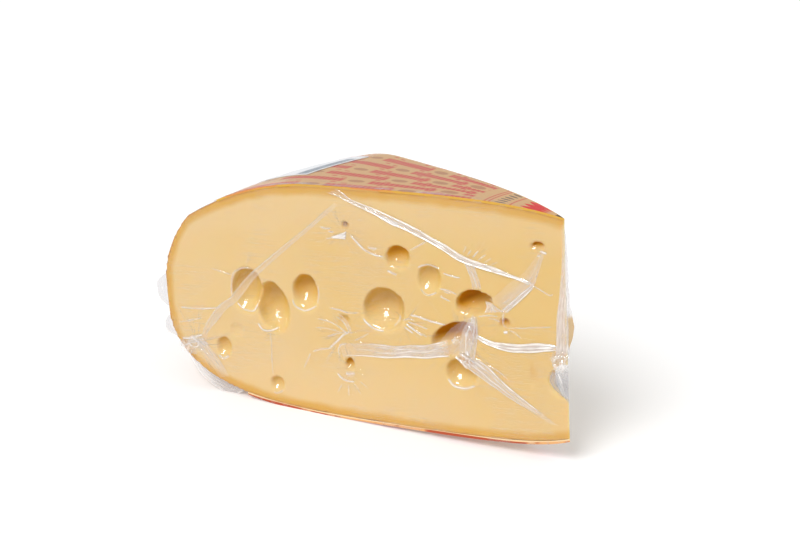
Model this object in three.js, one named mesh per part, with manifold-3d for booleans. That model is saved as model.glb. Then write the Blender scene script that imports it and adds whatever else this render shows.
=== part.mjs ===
// A wedge of eyed cheese, one twelfth of a large wheel, sealed in clear film with its labels.
//
// Millimetres. Everything is first built in the wheel's own frame: the wheel's axis is the Z
// axis and stands at the wedge's tip, z = 0 is half way up the rim, the front cut face lies in
// the plane y = 0 and runs to -X, and the wedge sweeps back towards +Y. The finished pieces are
// then leaned on the domed underside and stood on the floor, z = 0.

import * as THREE from 'three';
import { mergeVertices } from 'three/addons/utils/BufferGeometryUtils.js';
import Module from 'manifold-3d';

const wasm = await Module();
wasm.setup();

// ---------------------------------------------------------------- driving dimensions

const SLICE_ANGLE = THREE.MathUtils.degToRad(30);
const SLICE_STEPS = 14;

// The rim bulges between the two edges where it meets the domed top and underside.
const RIM_RADIUS = 422;
const RIM_WIDEST_HEIGHT = -8;
const TOP_EDGE = { radius: 388, height: 75, rimCurve: 2.4 };
const UNDERSIDE_EDGE = { radius: 379, height: -87, rimCurve: 2.9 };
const RIM_STEPS = 7;

// The top is flat out to its shoulder, the underside is domed, and both sink towards the tip.
const TOP_HEIGHT = 113;
const TOP_SHOULDER_RADIUS = 250;
const TOP_TIP_SINK = { depth: 16.4, reach: 63 };
const UNDERSIDE_HEIGHT = -118;
const UNDERSIDE_DOME = 7.5;
const UNDERSIDE_SHOULDER_POWER = 8;
const UNDERSIDE_TIP_SINK = { depth: 10.5, reach: 33 };

// The labels cover the rind out to these radii, a hair off it. The sticker lies on the top one.
const TOP_LABEL_RADIUS = 352;
const UNDERSIDE_LABEL_RADIUS = 336;
const LABEL_THICKNESS = 0.6;
const LABEL_GAP = 0.3;
const STICKER = { inner: 275, outer: UNDERSIDE_LABEL_RADIUS, from: 0.27, to: 0.86, steps: 8 };
const FACE_RADII = [
  0, 14, 30, 50, 76, 108, 144, 182, 218, 250, STICKER.inner, 297, 318,
  UNDERSIDE_LABEL_RADIUS, TOP_LABEL_RADIUS, 366, 378,
];

// It leans about the line square to its middle, rim end down, and rests on a small flat spot.
const LEAN_ANGLE = THREE.MathUtils.degToRad(-4.24);
const REST_SPOT_DEPTH = 0.3;

// Eyes in the front cut face. x and z are the middle of the opening, w and h its size, d the
// depth, and turn leans a long one, in degrees.
const FRONT_EYES = [
  { x: -179, z: -1, w: 43, h: 40, d: 18, turn: 0 },
  { x: -299, z: -9, w: 35, h: 49, d: 20, turn: -14 },
  { x: -327, z: 5, w: 37, h: 42, d: 12, turn: 8 },
  { x: -262, z: 9, w: 27, h: 32, d: 13, turn: 4 },
  { x: -109, z: -19, w: 42, h: 31, d: 14, turn: 6 },
  { x: -88, z: 13, w: 37, h: 24, d: 17, turn: -4 },
  { x: -103, z: -55, w: 31, h: 28, d: 11, turn: 0 },
  { x: -131, z: 32, w: 23, h: 27, d: 6, turn: 0 },
  { x: -162, z: 50, w: 24, h: 19, d: 12, turn: -8 },
  { x: -301, z: -89, w: 17, h: 15, d: 6, turn: 0 },
  { x: -359, z: -58, w: 18, h: 19, d: 7, turn: 0 },
  { x: -345, z: -40, w: 16, h: 13, d: 4, turn: 0 },
  { x: -214, z: 76, w: 10, h: 9, d: 6, turn: 0 },
  { x: -219, z: -61, w: 11, h: 13, d: 7, turn: 0 },
  { x: -26, z: 71, w: 14, h: 7, d: 5, turn: 0 },
  { x: -59, z: -4, w: 9, h: 8, d: 4, turn: 0 },
  { x: -222, z: -17, w: 14, h: 12, d: 4, turn: 0 },
];
// One eye was cut through right at the tip and leaves a bite in that edge.
const TIP_BITE = { x: 0, z: -52, w: 38, h: 31, d: 15, turn: 0 };
const EYE_SEGMENTS = { round: 14, down: 10 };
const EYE_SUNK_SHARE = 0.2;

// The back cut face has eyes of the same run of sizes, scattered by a seeded draw.
const BACK_EYES = {
  seed: 71,
  count: 15,
  smallest: 9,
  largest: 42,
  crowding: 1.6,
  flattest: 0.75,
  tallest: 1.15,
  depthShare: 0.42,
  turn: 30,
  apart: 7,
  fromEdge: 16,
};

// Pleats of the film on the front cut face. Each is a low ridge along its points, [x, z].
const FRONT_PLEATS = [
  { path: [[-229, 109], [-162, 85], [-131, 71], [-94, 54], [-28, 37]], width: 6, rise: 4, taper: 0.3 },
  { path: [[-28, 37], [-59, 7], [-84, 7]], width: 5, rise: 3, taper: 0.5 },
  { path: [[-89, -17], [-63, -25], [-44, -26], [-6, -20]], width: 5, rise: 4, taper: 0.6 },
  { path: [[-112, -32], [-170, -38], [-223, -45]], width: 10, rise: 2.5, taper: 0.7 },
  { path: [[-97, -42], [-73, -61], [-12, -95]], width: 12, rise: 3, taper: 0.1 },
  { path: [[-215, 101], [-258, 67], [-296, 35], [-350, -11], [-381, -44]], width: 4, rise: 1.6, taper: 0.5 },
  { path: [[-97, -2], [-96, -18], [-99, -40]], width: 11, rise: 6, taper: 0.5 },
  { path: [[-7, 90], [-7, 40], [-8, -20]], width: 9, rise: 1.6, taper: 0.6 },
];
const BACK_PLEATS = [
  { path: [[-240, 108], [-186, 70], [-120, 30], [-40, 6]], width: 6, rise: 3.5, taper: 0.3 },
  { path: [[-330, 92], [-300, 30], [-290, -50], [-262, -104]], width: 8, rise: 2.5, taper: 0.5 },
  { path: [[-150, 18], [-146, -40], [-110, -110]], width: 6, rise: 3, taper: 0.4 },
];
const PLEAT_ROOT = 1.5;
const PLEAT_STEPS = 4;

// The film's seal stands out as a thin wavy fin: one round each end of the rim, one at the tip.
// Each fin is rooted in the wedge, starts and ends at a share of its reach, and so has blunt ends.
const SEAL_THICKNESS = 1.2;
const SEAL_ROOT = 3;
const SEAL_BLUNTNESS = 0.05;
const RIM_SEAL = {
  top: 22,
  endRadius: 340,
  reach: 10,
  waveDepth: 0.35,
  waves: 3,
  rimSteps: 16,
  undersideSteps: 10,
  inset: THREE.MathUtils.degToRad(1.2),
};
const TIP_SEAL = { top: 88, bottom: -34, reach: 3, bulge: 5, bulgeHeight: 2, bulgeLength: 22, steps: 18 };
const FLOOR_CLEARANCE = 0.8;

// ---------------------------------------------------------------- the wheel's section

function topHeight(r) {
  const fall = TOP_HEIGHT - TOP_EDGE.height;
  const past = Math.max(0, r - TOP_SHOULDER_RADIUS) / (TOP_EDGE.radius - TOP_SHOULDER_RADIUS);
  const sink = TOP_TIP_SINK.depth * Math.exp(-r / TOP_TIP_SINK.reach);
  return TOP_HEIGHT - fall * past ** 2 - sink;
}

function undersideHeight(r) {
  const t = r / UNDERSIDE_EDGE.radius;
  const shoulder = UNDERSIDE_EDGE.height - UNDERSIDE_HEIGHT - UNDERSIDE_DOME;
  const sink = UNDERSIDE_TIP_SINK.depth * Math.exp(-r / UNDERSIDE_TIP_SINK.reach);
  return UNDERSIDE_HEIGHT + UNDERSIDE_DOME * t ** 2 + shoulder * t ** UNDERSIDE_SHOULDER_POWER + sink;
}

function rimRadius(z) {
  const edge = z > RIM_WIDEST_HEIGHT ? TOP_EDGE : UNDERSIDE_EDGE;
  const t = (z - RIM_WIDEST_HEIGHT) / (edge.height - RIM_WIDEST_HEIGHT);
  return RIM_RADIUS - (RIM_RADIUS - edge.radius) * t ** edge.rimCurve;
}

// Closed outline of half a wheel as [r, z]: out along the top, down the rim, back underneath.
function wheelSection() {
  const top = FACE_RADII.map((r) => [r, topHeight(r)]);
  const underside = FACE_RADII.map((r) => [r, undersideHeight(r)]).reverse();
  const rim = [];
  for (let i = 0; i <= 2 * RIM_STEPS; i++) {
    const edge = i < RIM_STEPS ? TOP_EDGE : UNDERSIDE_EDGE;
    const t = Math.abs(i - RIM_STEPS) / RIM_STEPS;
    const z = RIM_WIDEST_HEIGHT + (edge.height - RIM_WIDEST_HEIGHT) * t;
    rim.push([rimRadius(z), z]);
  }
  return [...top, ...rim, ...underside];
}

// ---------------------------------------------------------------- solids

const MERGE_DISTANCE = 1e-4;

function toManifold(geometry) {
  const bare = geometry.clone();
  bare.deleteAttribute('normal');
  bare.deleteAttribute('uv');
  const merged = mergeVertices(bare, MERGE_DISTANCE);
  const index = Array.from(merged.index.array);
  const triVerts = [];
  for (let i = 0; i < index.length; i += 3) {
    const [a, b, c] = index.slice(i, i + 3);
    if (a !== b && b !== c && c !== a) {
      triVerts.push(a, b, c);
    }
  }
  return new wasm.Manifold(new wasm.Mesh({
    numProp: 3,
    vertProperties: new Float32Array(merged.attributes.position.array),
    triVerts: new Uint32Array(triVerts),
  }));
}

function toGeometry(solid) {
  const mesh = solid.getMesh();
  const geometry = new THREE.BufferGeometry();
  geometry.setAttribute('position', new THREE.BufferAttribute(mesh.vertProperties, 3));
  geometry.setIndex(new THREE.BufferAttribute(mesh.triVerts, 1));
  return geometry;
}

// Triangles that fill an outline, each turning the same way round as the outline itself.
function capTriangles(outline) {
  const { area, triangulateShape } = THREE.ShapeUtils;
  const turn = Math.sign(area(outline));
  return triangulateShape(outline, []).map(([a, b, c]) => {
    const sameWay = Math.sign(area([outline[a], outline[b], outline[c]])) === turn;
    return sameWay ? [a, b, c] : [a, c, b];
  });
}

// Skins a row of closed rings, all with the same number of points, and caps both ends.
// Each ring turns anticlockwise as seen from the row's last ring.
function loft(rings, capOutline) {
  const size = rings[0].length;
  const positions = rings.flat().flatMap((p) => [p.x, p.y, p.z]);
  const index = [];
  for (let k = 0; k + 1 < rings.length; k++) {
    for (let i = 0; i < size; i++) {
      const a = k * size + i;
      const b = k * size + ((i + 1) % size);
      index.push(a, b, b + size, a, b + size, a + size);
    }
  }
  const last = (rings.length - 1) * size;
  for (const [a, b, c] of capTriangles(capOutline)) {
    index.push(c, b, a);
    index.push(last + a, last + b, last + c);
  }
  const geometry = new THREE.BufferGeometry();
  geometry.setAttribute('position', new THREE.Float32BufferAttribute(positions, 3));
  geometry.setIndex(index);
  return geometry;
}

function wheelPoint(r, z, angle) {
  return new THREE.Vector3(-r * Math.cos(angle), r * Math.sin(angle), z);
}

// Turns an outline of [r, z] points about the wheel's axis from one angle to another.
function sector(outline, from, to, steps) {
  const flat = outline.map(([r, z]) => new THREE.Vector2(r, z));
  if (THREE.ShapeUtils.isClockWise(flat)) {
    flat.reverse();
  }
  const rings = [];
  for (let k = 0; k <= steps; k++) {
    const angle = from + ((to - from) * k) / steps;
    rings.push(flat.map((p) => wheelPoint(p.x, p.y, angle)));
  }
  return loft(rings, flat);
}

// A thin sheet that follows a face of the wheel: its outline is the face's curve and the same
// curve again, moved up or down by the sheet's thickness.
function sheetOutline(height, near, far, inner, outer) {
  const radii = FACE_RADII.filter((r) => r >= inner && r <= outer);
  const nearSide = radii.map((r) => [r, height(r) + near]);
  const farSide = radii.map((r) => [r, height(r) + far]).reverse();
  return [...nearSide, ...farSide];
}

// ---------------------------------------------------------------- eyes

// An ellipsoid that opens w by h on the cut face and is d deep, with its widest part a little
// way in, as a bubble cut off-centre.
function eyeSolid({ x, z, w, h, d, turn }) {
  const sunk = EYE_SUNK_SHARE * d;
  const depthRadius = d - sunk;
  const spread = 1 / Math.sqrt(1 - (sunk / depthRadius) ** 2);
  const eye = new THREE.SphereGeometry(1, EYE_SEGMENTS.round, EYE_SEGMENTS.down);
  eye.scale((w / 2) * spread, depthRadius, (h / 2) * spread);
  eye.rotateY(THREE.MathUtils.degToRad(turn));
  eye.translate(x, sunk, z);
  return eye;
}

// The front cut face's frame is the wheel's own. This carries a piece made on the front face
// to the same place on the back cut face, mirrored so that it still opens outwards.
function toBackFace(geometry) {
  geometry.scale(1, -1, 1);
  geometry.rotateZ(-SLICE_ANGLE);
  const index = geometry.index.array;
  for (let i = 0; i < index.length; i += 3) {
    [index[i], index[i + 1]] = [index[i + 1], index[i]];
  }
  return geometry;
}

function seededDraw(seed) {
  let state = seed >>> 0;
  return () => {
    state = (Math.imul(state, 1664525) + 1013904223) >>> 0;
    return state / 2 ** 32;
  };
}

// Large eyes are few and small ones many, as the crowding gives. Each takes the first drawn
// place that is clear of the edges and of the eyes before it.
function scatteredEyes() {
  const draw = seededDraw(BACK_EYES.seed);
  const between = (low, high) => low + (high - low) * draw();
  const eyes = [];
  while (eyes.length < BACK_EYES.count) {
    const share = (1 - eyes.length / BACK_EYES.count) ** BACK_EYES.crowding;
    const w = BACK_EYES.smallest + (BACK_EYES.largest - BACK_EYES.smallest) * share;
    const h = w * between(BACK_EYES.flattest, BACK_EYES.tallest);
    const r = between(0, RIM_RADIUS);
    const z = between(UNDERSIDE_HEIGHT, TOP_HEIGHT);
    const turn = between(-BACK_EYES.turn, BACK_EYES.turn) / 2;
    const margin = BACK_EYES.fromEdge + Math.max(w, h) / 2;
    const insideFaces = z < topHeight(r) - margin && z > undersideHeight(r) + margin;
    const insideRim = r > margin && r < rimRadius(z) - margin;
    const clear = eyes.every((e) => Math.hypot(e.x + r, e.z - z) > (e.w + w) / 2 + BACK_EYES.apart);
    if (insideFaces && insideRim && clear) {
      eyes.push({ x: -r, z, w, h, d: w * BACK_EYES.depthShare, turn });
    }
  }
  return eyes;
}

// ---------------------------------------------------------------- film

const TRIANGLE_CAP = [new THREE.Vector2(0, 0), new THREE.Vector2(1, 0), new THREE.Vector2(0, 1)];
const SQUARE_CAP = [...TRIANGLE_CAP.slice(0, 2), new THREE.Vector2(1, 1), TRIANGLE_CAP[2]];

// A ridge of triangular section along a path on the front cut face. It is widest in the middle
// of its length and narrows to its ends by the taper.
function pleatSolid({ path, width, rise, taper }) {
  const curve = new THREE.CatmullRomCurve3(path.map(([x, z]) => new THREE.Vector3(x, 0, z)));
  const steps = PLEAT_STEPS * (path.length - 1);
  const root = new THREE.Vector3(0, PLEAT_ROOT, 0);
  const rings = [];
  for (let k = 0; k <= steps; k++) {
    const t = k / steps;
    const centre = curve.getPoint(t);
    const along = curve.getTangent(t);
    const swell = taper + (1 - taper) * Math.sin(Math.PI * t);
    const side = new THREE.Vector3(along.z, 0, -along.x).setLength((swell * width) / 2);
    const crest = centre.clone().add(new THREE.Vector3(0, -swell * rise, 0));
    centre.add(root);
    rings.push([centre.clone().add(side), centre.clone().sub(side), crest]);
  }
  return loft(rings, TRIANGLE_CAP);
}

// How far a fin stands out at a share of its length.
function sealReach(reach, t) {
  return reach * Math.sin(Math.PI * (SEAL_BLUNTNESS + (1 - 2 * SEAL_BLUNTNESS) * t));
}

// A fin round the rim, from part way up it to under the lower shoulder. It stands in a plane
// through the wheel's axis. Its free edge is wavy and stays clear of the floor.
function rimSealSolid(angle, floorAt) {
  const line = [];
  for (let k = 0; k < RIM_SEAL.rimSteps; k++) {
    const z = RIM_SEAL.top + ((UNDERSIDE_EDGE.height - RIM_SEAL.top) * k) / RIM_SEAL.rimSteps;
    line.push(new THREE.Vector2(rimRadius(z), z));
  }
  for (let k = 0; k <= RIM_SEAL.undersideSteps; k++) {
    const inward = (RIM_SEAL.endRadius - UNDERSIDE_EDGE.radius) * (k / RIM_SEAL.undersideSteps);
    const r = UNDERSIDE_EDGE.radius + inward;
    line.push(new THREE.Vector2(r, undersideHeight(r)));
  }
  const rings = line.map((point, k) => {
    const before = line[Math.max(0, k - 1)];
    const after = line[Math.min(line.length - 1, k + 1)];
    const along = after.clone().sub(before).normalize();
    const outward = new THREE.Vector2(-along.y, along.x);
    const t = k / (line.length - 1);
    const wave = 1 - RIM_SEAL.waveDepth * (1 - Math.cos(2 * Math.PI * RIM_SEAL.waves * t));
    const free = point.clone().addScaledVector(outward, sealReach(RIM_SEAL.reach, t) * wave);
    free.y = Math.max(free.y, floorAt(free.x, angle) + FLOOR_CLEARANCE);
    const root = point.clone().addScaledVector(outward, -SEAL_ROOT);
    const halfTurn = SEAL_THICKNESS / 2 / point.x;
    return [
      wheelPoint(root.x, root.y, angle - halfTurn),
      wheelPoint(free.x, free.y, angle - halfTurn),
      wheelPoint(free.x, free.y, angle + halfTurn),
      wheelPoint(root.x, root.y, angle + halfTurn),
    ];
  });
  return loft(rings, SQUARE_CAP);
}

// A fin down the tip, in the plane that halves the wedge, with one wider bulge.
function tipSealSolid() {
  const outward = wheelPoint(-1, 0, SLICE_ANGLE / 2);
  const sideways = new THREE.Vector3(-outward.y, outward.x, 0).multiplyScalar(SEAL_THICKNESS / 2);
  const rings = [];
  for (let k = 0; k <= TIP_SEAL.steps; k++) {
    const t = k / TIP_SEAL.steps;
    const z = TIP_SEAL.bottom + (TIP_SEAL.top - TIP_SEAL.bottom) * t;
    const bulge = TIP_SEAL.bulge * Math.exp(-(((z - TIP_SEAL.bulgeHeight) / TIP_SEAL.bulgeLength) ** 2));
    const root = outward.clone().multiplyScalar(-SEAL_ROOT).setZ(z);
    const free = outward.clone().multiplyScalar(sealReach(TIP_SEAL.reach, t) + bulge).setZ(z);
    rings.push([
      root.clone().sub(sideways),
      free.clone().sub(sideways),
      free.clone().add(sideways),
      root.clone().add(sideways),
    ]);
  }
  return loft(rings, SQUARE_CAP);
}

// ---------------------------------------------------------------- pieces

const lean = new THREE.Matrix4().makeRotationAxis(
  new THREE.Vector3(Math.sin(SLICE_ANGLE / 2), Math.cos(SLICE_ANGLE / 2), 0),
  LEAN_ANGLE,
);

// The lowest point of the underside label once leaned, and the floor a little above it, which
// shaves the resting spot flat.
function floorHeight(labelGeometry) {
  const leaned = labelGeometry.clone().applyMatrix4(lean);
  leaned.computeBoundingBox();
  return leaned.boundingBox.min.z + REST_SPOT_DEPTH;
}

function wrappedWedge(floorAt) {
  const eyes = [
    ...[...FRONT_EYES, TIP_BITE].map(eyeSolid),
    ...scatteredEyes().map(eyeSolid).map(toBackFace),
  ];
  const film = [
    ...FRONT_PLEATS.map(pleatSolid),
    ...BACK_PLEATS.map(pleatSolid).map(toBackFace),
    rimSealSolid(RIM_SEAL.inset, floorAt),
    rimSealSolid(SLICE_ANGLE - RIM_SEAL.inset, floorAt),
    tipSealSolid(),
  ];
  let solid = toManifold(sector(wheelSection(), 0, SLICE_ANGLE, SLICE_STEPS));
  for (const eye of eyes) {
    solid = solid.subtract(toManifold(eye));
  }
  for (const fold of film) {
    solid = solid.add(toManifold(fold));
  }
  return toGeometry(solid);
}

// A label lies from near to far off its face, and covers the whole slice out to its radius.
function labelSolid(height, direction, radius) {
  const near = direction * LABEL_GAP;
  const far = direction * (LABEL_GAP + LABEL_THICKNESS);
  return sector(sheetOutline(height, near, far, 0, radius), 0, SLICE_ANGLE, SLICE_STEPS);
}

function weightSticker() {
  const lift = 2 * LABEL_GAP + LABEL_THICKNESS;
  const outline = sheetOutline(topHeight, lift, lift + LABEL_THICKNESS, STICKER.inner, STICKER.outer);
  return sector(outline, STICKER.from * SLICE_ANGLE, STICKER.to * SLICE_ANGLE, STICKER.steps);
}

const materials = {
  wrapped_cheese: new THREE.MeshStandardMaterial({ color: 0xeecb88, roughness: 0.3, metalness: 0 }),
  printed_label: new THREE.MeshStandardMaterial({ color: 0xcf8f6e, roughness: 0.45, metalness: 0 }),
  white_sticker: new THREE.MeshStandardMaterial({ color: 0xe9ebee, roughness: 0.4, metalness: 0 }),
};

const cheese = new THREE.Group();

function addPiece(name, geometry, material) {
  const mesh = new THREE.Mesh(geometry, material);
  mesh.name = name;
  cheese.add(mesh);
}

const wholeUndersideLabel = labelSolid(undersideHeight, -1, UNDERSIDE_LABEL_RADIUS);
const floor = floorHeight(wholeUndersideLabel);

// Height of the floor in the wheel's frame, below a point of the section at an angle.
const unlean = lean.clone().invert();
const floorNormal = new THREE.Vector3(0, 0, 1).transformDirection(unlean);
function floorAt(r, angle) {
  const flat = wheelPoint(r, 0, angle);
  return (floor - floorNormal.dot(flat)) / floorNormal.z;
}

// The underside label with its lowest part shaved off level with the floor.
function undersideLabel() {
  const belowFloor = new THREE.BoxGeometry(3 * RIM_RADIUS, 3 * RIM_RADIUS, RIM_RADIUS);
  belowFloor.translate(0, 0, floor - RIM_RADIUS / 2);
  belowFloor.applyMatrix4(unlean);
  return toGeometry(toManifold(wholeUndersideLabel).subtract(toManifold(belowFloor)));
}

addPiece('wrapped_wedge', wrappedWedge(floorAt), materials.wrapped_cheese);
addPiece('top_label', labelSolid(topHeight, 1, TOP_LABEL_RADIUS), materials.printed_label);
addPiece('underside_label', undersideLabel(), materials.printed_label);
addPiece('weight_sticker', weightSticker(), materials.white_sticker);

for (const mesh of cheese.children) {
  mesh.geometry.applyMatrix4(lean);
}
const box = new THREE.Box3().setFromObject(cheese);
const centre = box.getCenter(new THREE.Vector3());
cheese.position.set(-centre.x, -centre.y, -box.min.z);
cheese.updateMatrixWorld(true);

export default cheese;
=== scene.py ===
"""A wedge of eyed cheese sealed in clear film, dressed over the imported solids.

The pieces are shaped in the wheel's own frame and then settled into the part's. In the wheel's
frame the wheel's axis is Z and stands at the wedge's tip, z = 0 is half way up the rim, the front
cut face lies in the plane y = 0 and runs to -X, and the wedge sweeps back towards +Y. Lengths in
the tables below are millimetres, as a cheese is measured, and MM turns them into metres.
"""
import math

import bpy
import numpy as np
from mathutils import Matrix, Vector, noise


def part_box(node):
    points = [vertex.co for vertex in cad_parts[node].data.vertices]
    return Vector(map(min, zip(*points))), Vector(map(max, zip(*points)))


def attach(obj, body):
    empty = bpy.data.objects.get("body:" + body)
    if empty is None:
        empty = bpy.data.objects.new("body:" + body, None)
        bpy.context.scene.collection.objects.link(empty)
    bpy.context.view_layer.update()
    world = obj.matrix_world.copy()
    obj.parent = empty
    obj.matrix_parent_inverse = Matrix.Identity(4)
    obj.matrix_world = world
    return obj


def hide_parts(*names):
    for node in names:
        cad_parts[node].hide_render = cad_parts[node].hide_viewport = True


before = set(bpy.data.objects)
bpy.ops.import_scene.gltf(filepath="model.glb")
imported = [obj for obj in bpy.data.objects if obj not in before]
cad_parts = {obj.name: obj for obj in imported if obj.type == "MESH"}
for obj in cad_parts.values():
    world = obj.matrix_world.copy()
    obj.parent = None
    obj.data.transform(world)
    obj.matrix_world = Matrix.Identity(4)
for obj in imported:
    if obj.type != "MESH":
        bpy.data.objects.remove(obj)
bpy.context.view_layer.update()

MM = 0.001

# ------------------------------------------------------------------ the wheel and the slice

SLICE_ANGLE = math.radians(30)
RIM_RADIUS = 422
RIM_WIDEST_HEIGHT = -8
TOP_EDGE = {"radius": 388, "height": 75, "curve": 2.4}
UNDERSIDE_EDGE = {"radius": 379, "height": -87, "curve": 2.9}
TOP_HEIGHT = 113
TOP_SHOULDER_RADIUS = 250
TOP_TIP_SINK = {"depth": 16.4, "reach": 63}
UNDERSIDE_HEIGHT = -118
UNDERSIDE_DOME = 7.5
UNDERSIDE_SHOULDER_POWER = 8
UNDERSIDE_TIP_SINK = {"depth": 10.5, "reach": 33}
TOP_LABEL_RADIUS = 352
UNDERSIDE_LABEL_RADIUS = 336
LABEL_GAP = 0.3
LABEL_THICKNESS = 0.6
STICKER = {"inner": 275, "outer": 336, "from": 0.27, "to": 0.86}
LEAN_ANGLE = math.radians(-4.24)


def top_height(r):
    past = np.maximum(0, r - TOP_SHOULDER_RADIUS) / (TOP_EDGE["radius"] - TOP_SHOULDER_RADIUS)
    sink = TOP_TIP_SINK["depth"] * np.exp(-r / TOP_TIP_SINK["reach"])
    return TOP_HEIGHT - (TOP_HEIGHT - TOP_EDGE["height"]) * past ** 2 - sink


def underside_height(r):
    t = r / UNDERSIDE_EDGE["radius"]
    shoulder = UNDERSIDE_EDGE["height"] - UNDERSIDE_HEIGHT - UNDERSIDE_DOME
    sink = UNDERSIDE_TIP_SINK["depth"] * np.exp(-r / UNDERSIDE_TIP_SINK["reach"])
    return UNDERSIDE_HEIGHT + UNDERSIDE_DOME * t ** 2 + shoulder * t ** UNDERSIDE_SHOULDER_POWER + sink


def rim_radius(z):
    above = z > RIM_WIDEST_HEIGHT
    edge_height = np.where(above, TOP_EDGE["height"], UNDERSIDE_EDGE["height"])
    edge_radius = np.where(above, TOP_EDGE["radius"], UNDERSIDE_EDGE["radius"])
    curve = np.where(above, TOP_EDGE["curve"], UNDERSIDE_EDGE["curve"])
    t = np.clip((z - RIM_WIDEST_HEIGHT) / (edge_height - RIM_WIDEST_HEIGHT), 0, 2)
    return RIM_RADIUS - (RIM_RADIUS - edge_radius) * t ** curve


def wheel_point(r, z, angle):
    """A point at radius r, height z and angle back from the front cut face, in metres."""
    return Vector((-r * math.cos(angle), r * math.sin(angle), z)) * MM


def settled_frame():
    """The matrix from the wheel's frame to the part's: the lean, then the shift that the solids show."""
    axis = Vector((math.sin(SLICE_ANGLE / 2), math.cos(SLICE_ANGLE / 2), 0))
    lean = Matrix.Rotation(LEAN_ANGLE, 4, axis)
    tip_low = lean @ wheel_point(0, underside_height(0) - LABEL_GAP - LABEL_THICKNESS, 0)
    tip_high = lean @ wheel_point(0, underside_height(0) - LABEL_GAP, 0)
    label_top = top_height(TOP_LABEL_RADIUS) + LABEL_GAP + LABEL_THICKNESS
    back_corner = lean @ wheel_point(TOP_LABEL_RADIUS, label_top, SLICE_ANGLE)
    underside_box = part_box("underside_label")
    top_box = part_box("top_label")
    shift = Vector((
        underside_box[1][0] - tip_low.x,
        top_box[1][1] - back_corner.y,
        underside_box[1][2] - tip_high.z,
    ))
    return Matrix.Translation(shift) @ lean


SETTLED = settled_frame()

# ------------------------------------------------------------------ stage, light and camera

CAMERA_AZIMUTH = math.radians(25.8)
CAMERA_ELEVATION = math.radians(19.5)
CAMERA_DISTANCE = 1291
CAMERA_TARGET = Vector((-131.4, -63.5, 55))
CAMERA_LENS = 67.5
CAMERA_SENSOR = 36
KEY_DIRECTION = Vector((-0.12, -0.66, 0.74))
KEY_ANGLE = math.radians(30)
KEY_STRENGTH = 1.9
GLINT_DIRECTION = Vector((-0.11, -0.71, 0.70))
GLINT_ANGLE = math.radians(15)
GLINT_STRENGTH = 1.6
SKY_STRENGTH = 0.6
FLOOR_GLOW = 0.16
FLOOR_SIZE = 30


def deselect():
    bpy.ops.object.select_all(action="DESELECT")


def take_up(obj):
    deselect()
    obj.select_set(True)
    bpy.context.view_layer.objects.active = obj


def place_camera():
    outward = Vector((
        math.sin(CAMERA_AZIMUTH) * math.cos(CAMERA_ELEVATION),
        -math.cos(CAMERA_AZIMUTH) * math.cos(CAMERA_ELEVATION),
        math.sin(CAMERA_ELEVATION),
    ))
    target = SETTLED.translation + CAMERA_TARGET * MM
    camera = bpy.data.objects.new("camera", bpy.data.cameras.new("camera"))
    bpy.context.collection.objects.link(camera)
    camera.location = target + outward * CAMERA_DISTANCE * MM
    camera.rotation_euler = outward.to_track_quat("Z", "Y").to_euler()
    camera.data.lens = CAMERA_LENS
    camera.data.sensor_width = CAMERA_SENSOR
    bpy.context.scene.camera = camera


def place_sun(name, direction, angle, strength, mirrored):
    """A soft sun. One that is mirrored shows only as a glint, and the others only light things."""
    light = bpy.data.lights.new(name, "SUN")
    light.angle = angle
    light.energy = strength
    lamp = bpy.data.objects.new(name, light)
    lamp.visible_glossy = mirrored
    lamp.visible_diffuse = not mirrored
    lamp.rotation_euler = direction.to_track_quat("Z", "Y").to_euler()
    bpy.context.collection.objects.link(lamp)


def light_sky():
    world = bpy.data.worlds.new("white_studio")
    world.use_nodes = True
    background = world.node_tree.nodes["Background"]
    background.inputs["Color"].default_value = (1, 1, 1, 1)
    background.inputs["Strength"].default_value = SKY_STRENGTH
    bpy.context.scene.world = world


# ------------------------------------------------------------------ nodes


class Wire:
    """A node's output. Arithmetic on wires adds Math nodes to their tree."""

    def __init__(self, socket):
        self.socket = socket
        self.tree = socket.id_data

    def __add__(self, other):
        return calc("ADD", self, other)

    def __sub__(self, other):
        return calc("SUBTRACT", self, other)

    def __rsub__(self, other):
        return calc("SUBTRACT", other, self)

    def __mul__(self, other):
        return calc("MULTIPLY", self, other)

    def __truediv__(self, other):
        return calc("DIVIDE", self, other)

    def __pow__(self, power):
        return calc("POWER", self, power)

    def __abs__(self):
        return calc("ABSOLUTE", self)

    def clamped(self):
        self.socket.node.use_clamp = True
        return self

    def ramp(self, low, high, smooth=True):
        """0 below low and 1 above high. Low may be the larger, which turns the slope round."""
        flip = low > high
        return Wire(add_node(self.tree, "ShaderNodeMapRange", {
            "Value": self,
            "From Min": min(low, high),
            "From Max": max(low, high),
            "To Min": 1.0 if flip else 0.0,
            "To Max": 0.0 if flip else 1.0,
        }, interpolation_type="SMOOTHSTEP" if smooth else "LINEAR").outputs["Result"])

    def within(self, reach, soft):
        """1 where the value is closer to 0 than reach, and 0 outside a soft border."""
        return abs(self).ramp(reach + soft, reach - soft)

    def repeat(self, period, offset=0.0):
        """Where the value lies between marks a period apart, from -0.5 to 0.5, and the mark's number."""
        share = (self - offset) / period
        number = calc("ROUND", share)
        return share - number, number

    def noise(self, scale, detail=2.0, roughness=0.5, distortion=0.0):
        return Wire(add_node(self.tree, "ShaderNodeTexNoise", {
            "Vector": self, "Scale": scale, "Detail": detail,
            "Roughness": roughness, "Distortion": distortion,
        }).outputs["Fac"])

    def stretched(self, scale):
        return Wire(add_node(self.tree, "ShaderNodeMapping", {"Vector": self, "Scale": scale}).outputs[0])


def plug_in(tree, made, inputs):
    """Links the wires among a node's inputs, and sets the rest on its sockets."""
    for key, value in inputs.items():
        if isinstance(value, Wire):
            tree.links.new(value.socket, made.inputs[key])
        else:
            made.inputs[key].default_value = value


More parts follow.
